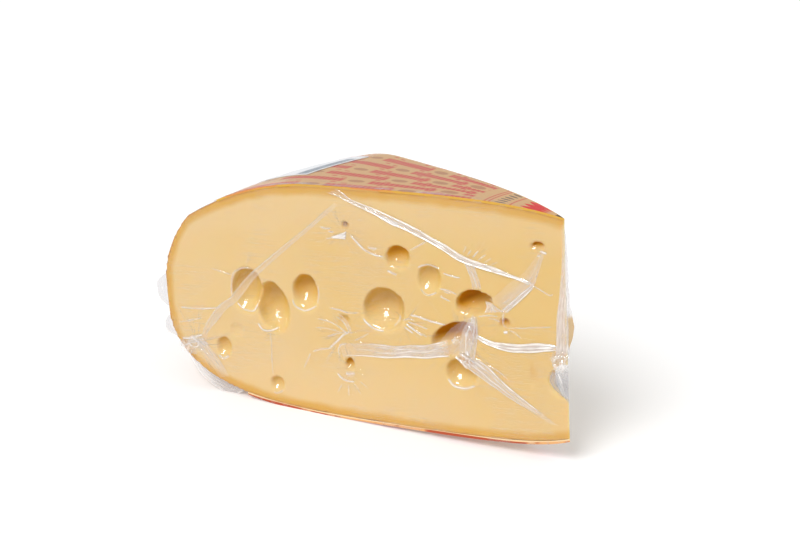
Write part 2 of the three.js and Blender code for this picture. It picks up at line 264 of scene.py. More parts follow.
def add_node(tree, kind, inputs=None, **settings):
    made = tree.nodes.new(kind)
    for name, value in settings.items():
        setattr(made, name, value)
    plug_in(tree, made, inputs or {})
    return made


def calc(operation, *values):
    """The output of a Math node, in the tree of the first wire among its values."""
    tree = next(value.tree for value in values if isinstance(value, Wire))
    return Wire(add_node(tree, "ShaderNodeMath", dict(enumerate(values)), operation=operation).outputs[0])


def blend_colour(share, low, high):
    made = add_node(share.tree, "ShaderNodeMix", {0: share, 6: low, 7: high}, data_type="RGBA")
    return Wire(made.outputs[2])


def attribute(tree, name):
    return Wire(add_node(tree, "ShaderNodeAttribute", attribute_name=name).outputs["Fac"])


def axes_of(vector):
    outputs = add_node(vector.tree, "ShaderNodeSeparateXYZ", {0: vector}).outputs
    return [Wire(output) for output in outputs]


def bump_of(height, strength, distance):
    """Normals that stand up by height, which reaches distance in millimetres."""
    made = add_node(height.tree, "ShaderNodeBump", {
        "Strength": strength, "Distance": distance * MM, "Height": height,
    })
    return Wire(made.outputs["Normal"])


def group_tree(name, inputs, outputs):
    """A node group with sockets of these names, kinds and first values: its tree, inputs and outputs."""
    tree = bpy.data.node_groups.new(name, "ShaderNodeTree")
    for socket_name, kind, value in inputs:
        socket = tree.interface.new_socket(socket_name, in_out="INPUT", socket_type=kind)
        if value is not None:
            socket.default_value = value
    for socket_name, kind in outputs:
        tree.interface.new_socket(socket_name, in_out="OUTPUT", socket_type=kind)
    source = tree.nodes.new("NodeGroupInput").outputs
    sink = tree.nodes.new("NodeGroupOutput")
    return tree, {socket.name: Wire(socket) for socket in source if socket.name}, sink


def use_group(tree, group, inputs):
    made = tree.nodes.new("ShaderNodeGroup")
    made.node_tree = group
    plug_in(tree, made, inputs)
    return {socket.name: Wire(socket) for socket in made.outputs}


def wheel_place_group():
    """Turns Object coordinates into the wheel's frame: millimetres, radius, height and angle, and how
    deep the point lies behind the nearer cut face."""
    tree, source, sink = group_tree(
        "wheel_place",
        [("Vector", "NodeSocketVector", None)],
        [("Place", "NodeSocketVector"), ("Radius", "NodeSocketFloat"),
         ("Height", "NodeSocketFloat"), ("Angle", "NodeSocketFloat"), ("Cut depth", "NodeSocketFloat")],
    )
    unsettled = Wire(add_node(tree, "ShaderNodeMapping", {
        "Vector": source["Vector"],
        "Location": SETTLED.translation,
        "Rotation": SETTLED.to_euler(),
        "Scale": (MM, MM, MM),
    }, vector_type="TEXTURE").outputs["Vector"])
    x, y, z = axes_of(unsettled)
    behind_back = Wire(add_node(tree, "ShaderNodeVectorMath", {
        0: unsettled, 1: (-math.sin(SLICE_ANGLE), -math.cos(SLICE_ANGLE), 0),
    }, operation="DOT_PRODUCT").outputs["Value"])
    plug_in(tree, sink, {
        "Place": unsettled,
        "Radius": calc("SQRT", x * x + y * y),
        "Height": z,
        "Angle": calc("DEGREES", calc("ARCTAN2", y, x * -1.0)),
        "Cut depth": calc("MINIMUM", y, behind_back),
    })
    return tree


WHEEL_PLACE = wheel_place_group()


def wheel_place(tree):
    coordinates = Wire(add_node(tree, "ShaderNodeTexCoord").outputs["Object"])
    return use_group(tree, WHEEL_PLACE, {"Vector": coordinates})


def new_material(name):
    material = bpy.data.materials.new(name)
    material.use_nodes = True
    tree = material.node_tree
    tree.nodes.clear()
    output = tree.nodes.new("ShaderNodeOutputMaterial")
    return material, tree, output.inputs["Surface"]


def coat_with(tree, surface, inputs):
    """Puts one Principled shader on the surface."""
    shader = add_node(tree, "ShaderNodeBsdfPrincipled", inputs)
    tree.links.new(shader.outputs[0], surface)


# ------------------------------------------------------------------ materials

PASTE_PALE = (0.71, 0.50, 0.225, 1)
# The paste's own golden tone, also used as painted shade deep in the hollows.
PASTE_GOLDEN_AND_HOLLOW_SHADE = (0.69, 0.455, 0.13, 1)
# Painted light and shade in the eyes: a paler lower lip where light falls on it, and deep orange to dark
# orange-brown on the shaded top walls.
EYE_LIP_PAINTED_LIGHT = (0.77, 0.55, 0.20, 1)
EYE_PAINTED_SHADE = (0.62, 0.31, 0.03, 1)
EYE_PAINTED_DEEP_SHADE = (0.45, 0.16, 0.004, 1)
BAND_GOLD = (0.63, 0.345, 0.04, 1)
BAND_AMBER = (0.57, 0.27, 0.03, 1)
RIND_BROWN = (0.42, 0.20, 0.05, 1)
# Where the paste turns golden: over which radii, and below and above which heights it stays pale.
GOLDEN_RADII = (380, 40)
PALE_LOW = (-30, -90)
PALE_HIGH = (50, 90)
# How deep under the rind each tone fades, from and to.
GOLD_DEPTHS = (12.5, 5)
AMBER_DEPTHS = (4.5, 0.5)
SKIN_DEPTHS = (2.2, 0.8)
PIT_DEPTHS = (6, 3)
# The rind is pitted on the rim only.
PIT_RADII = (370, 395)


def cheese_material():
    material, tree, surface = new_material("cheese_paste_and_rind")
    place = wheel_place(tree)
    spot, radius, height = place["Place"], place["Radius"], place["Height"]
    depth = attribute(tree, "rind_depth")
    painted_shade = attribute(tree, "eye_painted_shade")
    drift = spot.noise(0.011, detail=3)
    low_or_high = calc("MAXIMUM", height.ramp(*PALE_LOW), height.ramp(*PALE_HIGH))
    golden = radius.ramp(*GOLDEN_RADII) * 0.68 + (drift - 0.3) - low_or_high * 0.5
    paste = blend_colour(golden.clamped(), PASTE_PALE, PASTE_GOLDEN_AND_HOLLOW_SHADE)
    # Painted shade: the paste turns golden deeper behind the cut face, in the hollows.
    paste = blend_colour(attribute(tree, "hollow_depth").ramp(1, 8), paste, PASTE_GOLDEN_AND_HOLLOW_SHADE)
    # Painted light on the eyes' lower lips, then painted shade on their top walls, darkest in the deepest
    # eyes.
    paste = blend_colour(attribute(tree, "eye_lip_painted_light"), paste, EYE_LIP_PAINTED_LIGHT)
    paste = blend_colour(painted_shade.ramp(0, 0.6, smooth=False), paste, EYE_PAINTED_SHADE)
    paste = blend_colour(painted_shade.ramp(0.55, 1), paste, EYE_PAINTED_DEEP_SHADE)
    uneven = spot.noise(0.05, detail=3) * 6.0 + (depth - 3.0)
    paste = blend_colour(uneven.ramp(*GOLD_DEPTHS), paste, BAND_GOLD)
    paste = blend_colour(uneven.ramp(*AMBER_DEPTHS), paste, BAND_AMBER)
    mottle = spot.noise(0.35, detail=4)
    paste = blend_colour(depth.ramp(*SKIN_DEPTHS) * (mottle * 0.8 + 0.15), paste, RIND_BROWN)
    cells = Wire(add_node(tree, "ShaderNodeTexVoronoi", {"Vector": spot, "Scale": 0.24}).outputs["Distance"])
    pits = cells.ramp(0.34, 0.2) * depth.ramp(*PIT_DEPTHS) * radius.ramp(*PIT_RADII)
    paste = blend_colour(pits * 0.75, paste, RIND_BROWN)
    grain = spot.noise(0.12, detail=3)
    coat_with(tree, surface, {
        "Base Color": paste,
        "Roughness": grain * 0.2 + 0.38,
        "Normal": bump_of(grain * 0.25 - pits * 0.6, 0.6, 1.0),
        "IOR": 1.42,
        "Specular IOR Level": painted_shade * -0.3 + 0.35,
        "Subsurface Weight": 0.4,
        "Subsurface Radius": (1.0, 0.5, 0.2),
        "Subsurface Scale": 3.5 * MM,
    })
    return material


PAPER_TAN = (0.69, 0.425, 0.195, 1)
PAPER_DARK = (0.60, 0.355, 0.155, 1)
PRINT_RED = (0.60, 0.075, 0.06, 1)
PRINT_DEEP_RED = (0.70, 0.012, 0.008, 1)
PRINT_BROWN = (0.14, 0.09, 0.07, 1)
PRINT_BLACK = (0.03, 0.02, 0.02, 1)
OVAL_BROWN = (0.42, 0.16, 0.08, 1)
# Red print on the underside label's cut edge, painted darker as shade because it faces down.
EDGE_RED_IN_SHADE = (0.44, 0.07, 0.02, 1)
EDGE_RUST = (0.64, 0.24, 0.06, 1)
EDGE_ORANGE = (0.74, 0.38, 0.15, 1)
EDGE_CREAM = (0.82, 0.60, 0.32, 1)

# The print's rows run to the wheel's middle, ROW_ANGLE degrees apart. Each row starts its bars
# ROW_STAGGER of a period further in than the last.
ROW_ANGLE = 5.0
ROW_START = 1.3
ROW_STAGGER = 0.37
BAR_PERIOD = 100
BAR_LENGTH = 72
BAR_HEIGHT = 10.5
BAR_TAPER = 0.026
RIB_PERIOD = 5.4
OVAL_HALF_LENGTH, OVAL_HALF_HEIGHT = 9.0, 4.2
TICK_OFFSET = 20
TICK_HALF_LENGTH, TICK_HALF_HEIGHT = 3.2, 2.0
RINGS = (74, 70, 50)
ROWS_FROM = (86, 88)
MARK = {"angle": 5.0, "start": 2.5, "radius": 60.0, "half_length": 5.5, "half_width": 1.3}
PETAL = {"angle": 10.0, "start": 5.0, "radius": 28.0, "half_length": 14.5, "point": 1.7}
CORE_RADII = (9, 7.5)
# Where the labels' cut edges are in their strong tone: a radius, and half the length along the edge.
TOP_EDGE_STRONG = [(315, 28), (190, 24)]
# The underside's strong tone is that red edge with painted shade.
UNDERSIDE_EDGE_STRONG = [(290, 42), (92, 50)]


def ellipse(along, across):
    return (along * along + across * across).ramp(1.15, 0.85)


def arc_length(share, angle, radius):
    """How far round a share of an angle reaches at a radius."""
    return share * math.radians(angle) * radius


def printed_rows(radius, angle, wear):
    """The masks of the ribbed bars with the ticks between their rows, and of the ovals between bars."""
    row_share, row = angle.repeat(ROW_ANGLE, ROW_START)
    staggered = radius + row * (BAR_PERIOD * ROW_STAGGER)
    arc = arc_length(row_share, ROW_ANGLE, radius)
    along = staggered.repeat(BAR_PERIOD)[0] * float(BAR_PERIOD)
    half_height = calc("MINIMUM", BAR_HEIGHT / 2, radius * BAR_TAPER)
    rib = abs(along.repeat(RIB_PERIOD)[0]).ramp(0.47, 0.36)
    bar = (abs(arc) + (wear * 2.0 - 1.0) - half_height).ramp(0.6, -0.6)
    bar = bar * along.within(BAR_LENGTH / 2, 0.8) * (rib * 0.7 + 0.3)
    gap = abs(along) - BAR_PERIOD / 2
    oval = ellipse(gap / OVAL_HALF_LENGTH, arc / OVAL_HALF_HEIGHT)
    tick_arc = arc_length(abs(row_share) - 0.5, ROW_ANGLE, radius)
    tick_along = staggered.repeat(BAR_PERIOD / 2, TICK_OFFSET)[0] * (BAR_PERIOD / 2)
    tick = tick_arc.within(TICK_HALF_HEIGHT, 0.5) * tick_along.within(TICK_HALF_LENGTH, 0.6)
    outside_rings = radius.ramp(*ROWS_FROM)
    return calc("MAXIMUM", bar, tick) * outside_rings, oval * outside_rings


def printed_rings(radius):
    lines = [(radius - float(ring)).within(0.9, 0.3) for ring in RINGS]
    return calc("MAXIMUM", calc("MAXIMUM", lines[0], lines[1]), lines[2])


def printed_marks(radius, angle):
    share, _ = angle.repeat(MARK["angle"], MARK["start"])
    across = arc_length(share, MARK["angle"], radius) / MARK["half_width"]
    return ellipse((radius - MARK["radius"]) / MARK["half_length"], across)


def printed_petals(radius, angle):
    share, _ = angle.repeat(PETAL["angle"], PETAL["start"])
    along = (radius - PETAL["radius"]) / PETAL["half_length"]
    return (abs(share) * PETAL["point"] + along * along).ramp(1.02, 0.9)


def label_material(name, edge_tones, strong_parts, lip_colour):
    """Kraft paper printed in rows that run to the wheel's middle: ribbed red bars, brown ovals, ticks.
    Its cut edge is patchy in the weak and strong edge_tones, mostly strong in strong_parts, and
    lip_colour where it laps over the cheese."""
    material, tree, surface = new_material(name)
    place = wheel_place(tree)
    spot, radius, angle = place["Place"], place["Radius"], place["Angle"]
    wear = spot.noise(0.45, detail=3, roughness=0.6)
    fibre = spot.stretched((0.25, 1.2, 1)).noise(1.0, detail=4, roughness=0.65)
    tone = spot.noise(0.02, detail=3)
    bars, ovals = printed_rows(radius, angle, wear)
    colour = blend_colour(fibre * 0.5 + (tone * 0.5 - 0.2), PAPER_TAN, PAPER_DARK)
    colour = blend_colour(ovals * 0.7, colour, OVAL_BROWN)
    colour = blend_colour(bars * (wear * -0.4 + 1.15).clamped(), colour, PRINT_RED)
    colour = blend_colour(printed_rings(radius) * 0.8, colour, PRINT_RED)
    colour = blend_colour(printed_marks(radius, angle) * 0.9, colour, PRINT_BROWN)
    colour = blend_colour(printed_petals(radius, angle), colour, PRINT_DEEP_RED)
    colour = blend_colour(radius.ramp(*CORE_RADII), colour, PRINT_BLACK)
    patchy = spot.noise(0.05, detail=4)
    for middle, half in strong_parts:
        patchy = (radius - float(middle)).within(half, 12) * 0.3 + patchy
    edge_colour = blend_colour(patchy.ramp(0.56, 0.7), *edge_tones)
    edge_colour = blend_colour(attribute(tree, "lip").ramp(0.35, 0.65), edge_colour, lip_colour)
    coat_with(tree, surface, {
        "Base Color": blend_colour(place["Cut depth"].ramp(0.3, 0.1), colour, edge_colour),
        "Roughness": fibre * 0.2 + 0.5,
        "Normal": bump_of(fibre, 0.3, 0.1),
    })
    return material


STICKER_WHITE = (0.84, 0.86, 0.89, 1)
STRIP_DARK = (0.16, 0.20, 0.26, 1)
STRIP_PALE = (0.34, 0.39, 0.44, 1)
STICKER_STRIP = {"radius": 284.75, "half_height": 6.5, "angle": 15.8, "half_angle": 7.2}


def sticker_material():
    material, tree, surface = new_material("white_sticker_paper")
    place = wheel_place(tree)
    up_strip = (place["Radius"] - STICKER_STRIP["radius"]).within(STICKER_STRIP["half_height"], 0.75)
    along_strip = (place["Angle"] - STICKER_STRIP["angle"]).within(STICKER_STRIP["half_angle"], 0.2)
    mottle = place["Place"].noise(0.3, detail=3)
    grey = blend_colour(mottle, STRIP_DARK, STRIP_PALE)
    coat_with(tree, surface, {
        "Base Color": blend_colour(up_strip * along_strip, STICKER_WHITE, grey),
        "Roughness": mottle * 0.1 + 0.4,
        "Normal": bump_of(mottle, 0.2, 0.1),
    })
    return material


FILM_MILK = (0.76, 0.70, 0.68, 1)
# White of folded film: partly milky doubled film, partly painted highlight on crests and rims.
FILM_WHITE_AND_GLINT = (0.95, 0.92, 0.89, 1)
FILM_CLEAR = (1, 1, 1, 1)
FILM_GREY = (0.80, 0.80, 0.82, 1)
FILM_DULL = (0.68, 0.63, 0.61, 1)
# Painted shadow: film darkened where the shaded floor shows through it, over the tip's bite.
FILM_SHADE = (0.30, 0.29, 0.31, 1)
CHEESE_BEHIND = (0.50, 0.31, 0.10, 1)


def film_shader(tree, surface, haze, normal, shine, tint, milky):
    """Clear film: see-through, as shiny as the shine mask says, and milky where haze is high."""
    clear = add_node(tree, "ShaderNodeBsdfTransparent", {"Color": tint})
    mirror = add_node(tree, "ShaderNodeBsdfGlossy", {
        "Color": FILM_CLEAR, "Roughness": 0.04, "Normal": normal,
    })
    milk = add_node(tree, "ShaderNodeBsdfPrincipled", {
        "Base Color": milky, "Roughness": 0.3, "Normal": normal,
    })
    cloudy = add_node(tree, "ShaderNodeMixShader", {
        0: haze, 1: Wire(clear.outputs[0]), 2: Wire(milk.outputs[0]),
    })
    mixed = add_node(tree, "ShaderNodeMixShader", {
        0: shine, 1: Wire(cloudy.outputs[0]), 2: Wire(mirror.outputs[0]),
    })
    tree.links.new(mixed.outputs[0], surface)


def film_gloss(tree, normal, sheen, straight_on):
    """How much film mirrors: straight_on where it faces the eye, and sheen more at a slant."""
    slant = Wire(add_node(tree, "ShaderNodeLayerWeight", {"Blend": 0.5, "Normal": normal}).outputs["Facing"])
    return slant ** 8.0 * sheen + straight_on


# Where the film is drawn into fine wrinkles that spread from a point: x and z on the front face,
# how far they reach, how many go round, and how strong they are.
PUCKERS = [
    (-217, 72, 30, 44, 0.9),
    (-226, -30, 44, 46, 1.0),
    (-100, -24, 64, 60, 0.7),
    (-60, -5, 24, 34, 0.5),
    (-392, -58, 70, 40, 0.8),
    (-217, -64, 30, 34, 0.7),
    (-160, -13, 36, 50, 0.9),
    (-326, 24, 24, 44, 0.6),
    (-84, 57, 22, 44, 0.8),
    (-300, -34, 24, 36, 0.5),
]


def pucker_group():
    tree, source, sink = group_tree(
        "film_pucker",
        [("Place", "NodeSocketVector", None), ("Centre", "NodeSocketVector", (0, 0, 0)),
         ("Reach", "NodeSocketFloat", 30.0), ("Count", "NodeSocketFloat", 20.0)],
        [("Height", "NodeSocketFloat")],
    )
    offset = Wire(add_node(tree, "ShaderNodeVectorMath", {0: source["Place"], 1: source["Centre"]},
                           operation="SUBTRACT").outputs[0])
    x, _, z = axes_of(offset)
    distance = calc("SQRT", x * x + z * z)
    spokes = Wire(add_node(tree, "ShaderNodeCombineXYZ", {
        "X": calc("ARCTAN2", z, x) * (source["Count"] / (2 * math.pi)),
        "Y": distance * 0.03,
        "Z": source["Reach"] * 1.7,
    }).outputs[0])
    lines = spokes.noise(1.0, detail=2, roughness=0.6, distortion=0.3)
    far = distance / source["Reach"]
    height = lines.ramp(0.48, 0.78) ** 1.5 * (far.ramp(1.0, 0.15) * far.ramp(0.02, 0.16))
    plug_in(tree, sink, {"Height": height})
    return tree


def puckers_over(spot):
    """The wrinkles round all the points, as one height."""
    group = pucker_group()
    total = None
    for x, z, reach, count, strength in PUCKERS:
        height = use_group(spot.tree, group, {
            "Place": spot, "Centre": (x, 0, z), "Reach": float(reach), "Count": float(count),
        })["Height"]
        part = height * strength
        total = part if total is None else total + part
    return total


# Where the film lies milky over the top label's front edge, partly painted highlight on the film's rounded
# edge.
MILKY_EDGE_HEIGHTS = (70, 78)
MILKY_EDGE_RADII = (90, 130)
MILKY_EDGE_WIDTH = (9, 2)


def film_skin_material():
    material, tree, surface = new_material("film_drawn_tight")
    place = wheel_place(tree)
    spot, from_cut = place["Place"], place["Cut depth"]
    near_front = place["Angle"].ramp(7, 3)
    puckers = puckers_over(spot) * near_front
    patches = spot.noise(0.014, detail=4).ramp(0.45, 0.75)
    threads = spot.stretched((0.02, 0.3, 0.5)).noise(1.0, detail=4, roughness=0.6)
    ripple = spot.noise(0.03, detail=2)
    normal = bump_of(ripple + (puckers + threads * 0.10), 1.0, 1.2)
    wisps = spot.stretched((0.011, 0.2, 0.5)).noise(1.0, detail=5, roughness=0.65)
    wisps = abs(wisps - 0.5).ramp(0.02, 0.004) * spot.noise(0.012).ramp(0.45, 0.6) * near_front
    on_top = place["Height"].ramp(*MILKY_EDGE_HEIGHTS) * from_cut.ramp(0.2, 0.7)
    on_top = on_top * place["Radius"].ramp(*MILKY_EDGE_RADII)
    top_edge = on_top * from_cut.ramp(*MILKY_EDGE_WIDTH) * spot.noise(0.03, detail=3).ramp(0.35, 0.6)
    # The wisps and the wrinkle lines are painted highlight on the film, and the milky line over the top front
    # edge is partly painted highlight; the patches are milky film.
    haze = patches * 0.05 + 0.015 + wisps * 0.24 + top_edge * near_front * 0.45 + puckers * 0.4
    in_clear = (attribute(tree, "eye_painted_shade") * -1.7 + 1.0).clamped()
    shine = film_gloss(tree, normal, 0.3, 0.05) * in_clear
    film_shader(tree, surface, haze * in_clear, normal, shine, FILM_CLEAR, FILM_MILK)
    return material


# Where the cheese shows through the seal that bulges in front of the tip.
BULGE_RADII = (16, 12)
BULGE_SHOWS = {"height": -5.0, "half": 15}


def film_fold_material(name, tint, body, crinkle, behind=None):
    """Film lying in folds: streaks run along the fold, and the haze attribute says how milky it is.
    crinkle is how rough it is, and behind what shows through where the seal bulges in front of the tip."""
    material, tree, surface = new_material(name)
    uv = Wire(add_node(tree, "ShaderNodeUVMap", uv_map="along_fold").outputs[0])
    # Fold lines whiten: partly milky film, partly painted highlight.
    milk = blend_colour(attribute(tree, "fold_white_and_glint"), body, FILM_WHITE_AND_GLINT)
    # fold_shade paints shadow into the film.
    milk = blend_colour(attribute(tree, "fold_shade"), milk, FILM_SHADE)
    streaks = uv.stretched((0.05, 1.4, 1)).noise(1.0, detail=4, roughness=0.65)
    glints = uv.stretched((0.4, 1.2, 1)).noise(1.0, detail=3)
    haze = (attribute(tree, "fold_haze") * (streaks.ramp(0.35, 0.7) * 0.5 + 0.65)).clamped()
    normal = bump_of(streaks * 0.6 + glints * 0.5, crinkle, 0.5)
    if behind:
        place = wheel_place(tree)
        bulge = place["Radius"].ramp(*BULGE_RADII)
        bulge = bulge * (place["Height"] - BULGE_SHOWS["height"]).within(BULGE_SHOWS["half"], 3)
        milk = blend_colour(bulge, milk, behind)
        haze = (1.0 - haze) * (bulge * 0.9) + haze
    film_shader(tree, surface, haze, normal, film_gloss(tree, normal, 0.9, 0.1), tint, milk)
    return material


FLOOR_WHITE = (0.90, 0.90, 0.90, 1)
FLOOR_DULL = (0.88, 0.88, 0.88, 1)


def floor_material():
    material, tree, surface = new_material("pale_floor")
    coordinates = Wire(add_node(tree, "ShaderNodeTexCoord").outputs["Object"])
    coat_with(tree, surface, {
        "Base Color": blend_colour(coordinates.noise(3.0), FLOOR_DULL, FLOOR_WHITE),
        "Roughness": 0.8,
        "Specular IOR Level": 0.1,
        "Emission Color": (1, 1, 1, 1),
        "Emission Strength": FLOOR_GLOW,
    })
    return material


# ------------------------------------------------------------------ making pieces

WELD_DISTANCE = 1e-6


def edit_mode():
    """Edit mode with everything selected."""
    bpy.ops.object.mode_set(mode="EDIT")
    bpy.ops.mesh.select_all(action="SELECT")


def object_mode():
    bpy.ops.object.mode_set(mode="OBJECT")


def apply_modifier(obj, kind, **settings):
    take_up(obj)
    modifier = obj.modifiers.new(kind.lower(), kind)
    for name, value in settings.items():
        setattr(modifier, name, value)
    bpy.ops.object.modifier_apply(modifier=modifier.name)


def smooth(obj, angle=None):
    """Shades a piece smooth, with the edges sharper than angle left sharp if one is given."""
    take_up(obj)
    bpy.ops.object.shade_smooth()
    if angle:
        bpy.ops.object.shade_smooth_by_angle(angle=math.radians(angle))


def turned_solid(name, outline, start, end, steps):
    """Spins a closed outline of (radius, height) points about the wheel's axis between two angles."""
    deselect()
    bpy.ops.mesh.primitive_circle_add(vertices=len(outline), radius=RIM_RADIUS * MM, fill_type="NGON")
    obj = bpy.context.active_object
    obj.name = name
    for vertex, (r, z) in zip(obj.data.vertices, outline):
        vertex.co = wheel_point(r, z, start)
    edit_mode()
    bpy.ops.mesh.spin(steps=steps, angle=end - start, center=(0, 0, 0), axis=(0, 0, 1))
    bpy.ops.mesh.select_all(action="SELECT")
    bpy.ops.mesh.remove_doubles(threshold=WELD_DISTANCE)
    bpy.ops.mesh.normals_make_consistent(inside=False)
    object_mode()
    return obj


def vertex_places(obj):
    """The vertices of a piece as rows of x, y, z in millimetres."""
    places = np.empty(len(obj.data.vertices) * 3)
    obj.data.vertices.foreach_get("co", places)
    return places.reshape(-1, 3) / MM


def move_vertices(obj, places):
    obj.data.vertices.foreach_set("co", (places * MM).ravel())
    obj.data.update()


def write_attribute(obj, name, values):
    """Gives each vertex of a piece a value that its material reads by name."""
    layer = obj.data.attributes.new(name, "FLOAT", "POINT")
    layer.data.foreach_set("value", np.asarray(values, dtype=np.float32))


def settle(obj, slot, material, *nodes):
    """Moves a finished piece into the part's frame and hands it over."""
    obj.data.transform(SETTLED)
    obj.data.update()
    obj.data.materials.clear()
    obj.data.materials.append(material)
    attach(obj, "root")
    if nodes:
        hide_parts(*nodes)


# ------------------------------------------------------------------ the cheese

def eye_at(x, z, w, h, d, turn=0, slope=0.3, painted_shade=0.3, film=1, **more):
    return {"x": x, "z": z, "w": w, "h": h, "d": d, "turn": turn, "slope": slope, "painted_shade": painted_shade,
            "film": film, **more}


# Eyes in the front cut face: the middle of the opening, its size, its depth, how it turns on the
# face, how its floor slopes up to its lower edge, how much painted shade darkens its top wall, and how
# deep the film follows it. tilt is how far the opening leans in, and left how much more painted shade
# its left side takes.
FRONT_EYES = [
    eye_at(-179, -1, 43, 41, 18, slope=0.2),
    eye_at(-299, -9, 34, 49, 20, turn=-14, slope=0.35, painted_shade=0.26, tilt=0),
    eye_at(-327, 5, 33, 44, 14, turn=8, slope=0.25, painted_shade=0.2),
    eye_at(-262, 8, 27, 36, 13, turn=4, slope=0.4, painted_shade=0.5),
    eye_at(-109, -22, 49, 28, 15, turn=-25, painted_shade=1.4, film=0.45),
    eye_at(-88, 13, 37, 24, 17, turn=-8, slope=0.4, painted_shade=0.92, film=0.8, left=0.8),
    eye_at(-103, -55, 31, 28, 10, slope=0.2, painted_shade=0.4),
    eye_at(-131, 32, 23, 27, 8, slope=0.4, painted_shade=0.25),
    eye_at(-162, 50, 25, 22, 9.5, turn=-8, slope=0.2, painted_shade=0.8),
    eye_at(-301, -89, 16, 15, 6, slope=0.2),
    eye_at(-359, -57, 17, 20, 7, slope=0.2),
    eye_at(-342, -38, 16, 14, 2.2, painted_shade=0.0, film=0.8),
    eye_at(-214, 77, 8, 7, 7, painted_shade=1.0, film=0.3),
    eye_at(-219, -60, 10, 13, 7, slope=0.5, painted_shade=0.8, film=0.8),
    eye_at(-26, 71, 15, 7, 6, turn=-6, painted_shade=1.0, film=0.7),
    eye_at(-59, -4, 11, 12, 5, painted_shade=0.9, film=0.4),
    eye_at(-222, -17, 13, 13, 4, painted_shade=0.2, film=0.8),
]
TIP_BITE = eye_at(0, -52, 38, 31, 15, slope=0, painted_shade=0.4, film=0)
EYE_MIDDLE_SHIFT = -0.1
EYE_TILT = 0.22
EYE_LOWER_STRETCH = 1.08
EYE_UNEVENNESS = 0.07
BACK_EYES = {
    "seed": 71, "count": 15, "smallest": 9, "largest": 42, "crowding": 1.6,
    "flattest": 0.75, "tallest": 1.15, "depth_share": 0.42, "turn": 30, "apart": 7, "from_edge": 16,
    "slope": 0.4, "painted_shade": 0.4,
}
VOXEL = 2.0
EVENING_OUT = {"factor": 0.5, "iterations": 2}
LIP_ROUNDING = {"factor": 0.6, "iterations": 8}
EYE_BALL_SEGMENTS, EYE_BALL_RINGS = 40, 28
# How the painted light and shade spread in an eye: how far behind the face and past the rim they
# reach, the depth at which the painted shade starts and the share of the eye's depth that it takes to
# deepen, and how much of it lies at mid height and towards the top. The painted light on the lower lip
# is full in eyes this high.
EYE_TONES = {
    "behind": 1.6, "shade_ring": 1.5, "shade_from": 0.6, "shade_share": 0.35,
    "shade_middle": 0.5, "shade_uphill": 0.95, "lit_lip_ring": 1.3, "lit_lip_height": 36,
}
SLICE_STEPS = 30
RIM_STEPS = 28
# The radii of the outline's points: even as far as FACE_END, then these on the way to the edge.
FACE_END = 366
TOP_SHOULDER_RADII = (372, 380)
UNDERSIDE_SHOULDER_RADIUS = 372
RIND_SKIN = 3
TO_BACK_FACE = Matrix.Rotation(-SLICE_ANGLE, 4, "Z") @ Matrix.Scale(-1, 4, (0, 1, 0))


def seeded_draw(seed):
    """An endless row of numbers from 0 to 1, the same for a seed as in the solids."""
    state = seed
    while True:
        state = (state * 1664525 + 1013904223) % 2 ** 32
        yield state / 2 ** 32


def scattered_eyes():
    """Eyes for the back cut face, from the rule that scatters them in the solids."""
    draw = seeded_draw(BACK_EYES["seed"])

    def between(low, high):
        return low + (high - low) * next(draw)

    eyes = []
    while len(eyes) < BACK_EYES["count"]:
        share = (1 - len(eyes) / BACK_EYES["count"]) ** BACK_EYES["crowding"]
        w = BACK_EYES["smallest"] + (BACK_EYES["largest"] - BACK_EYES["smallest"]) * share
        h = w * between(BACK_EYES["flattest"], BACK_EYES["tallest"])
        r = between(0, RIM_RADIUS)
        z = between(UNDERSIDE_HEIGHT, TOP_HEIGHT)
        turn = between(-BACK_EYES["turn"], BACK_EYES["turn"]) / 2
        margin = BACK_EYES["from_edge"] + max(w, h) / 2
        inside = underside_height(r) + margin < z < top_height(r) - margin
        inside = inside and margin < r < rim_radius(z) - margin
        clear = all(math.hypot(e["x"] + r, e["z"] - z) > (e["w"] + w) / 2 + BACK_EYES["apart"] for e in eyes)
        if inside and clear:
            eyes.append(eye_at(-r, z, w, h, w * BACK_EYES["depth_share"], turn,
                               BACK_EYES["slope"], BACK_EYES["painted_shade"]))
    return eyes


def eye_ball(eye, depth_share, to_face=Matrix()):
    """A ball shaped to an eye. It opens w by h on the cut face. Its top lies deeper than its bottom,
    so that the top wall is undercut and the bottom runs out gently onto the face."""
    deep = eye["d"] * depth_share
    deselect()
    bpy.ops.mesh.primitive_uv_sphere_add(
        segments=EYE_BALL_SEGMENTS, ring_count=EYE_BALL_RINGS, radius=1)
    ball = bpy.context.active_object
    uneven = Vector((eye["x"], 0, eye["z"])) * 0.1
    for vertex in ball.data.vertices:
        point = vertex.co * (1 + EYE_UNEVENNESS * noise.noise(vertex.co * 1.3 + uneven))
        tilt = eye.get("tilt", EYE_TILT) * point.z
        inward = deep * (EYE_MIDDLE_SHIFT + tilt + point.y * (1 + eye["slope"] * point.z))
        up = point.z * (EYE_LOWER_STRETCH if point.z < 0 else 1)
        vertex.co = (point.x * eye["w"] / 2, inward, up * eye["h"] / 2)
    turned = Matrix.Rotation(math.radians(eye["turn"]), 4, "Y")
    placed = Matrix.Translation((eye["x"], 0, eye["z"])) @ turned
    ball.data.transform(to_face @ Matrix.Scale(MM, 4) @ placed)
    edit_mode()
    bpy.ops.mesh.normals_make_consistent(inside=False)
    object_mode()
    return ball


def hollow_out(body, balls):
    """Cuts the balls out of the body in one go."""
    hollows = bpy.data.collections.new("hollows")
    bpy.context.scene.collection.children.link(hollows)
    for ball in balls:
        for owner in list(ball.users_collection):
            owner.objects.unlink(ball)
        hollows.objects.link(ball)
    apply_modifier(body, "BOOLEAN", operation="DIFFERENCE", operand_type="COLLECTION",
                   collection=hollows, solver="MANIFOLD")
    for ball in balls:
        bpy.data.objects.remove(ball, do_unlink=True)
    bpy.data.collections.remove(hollows)


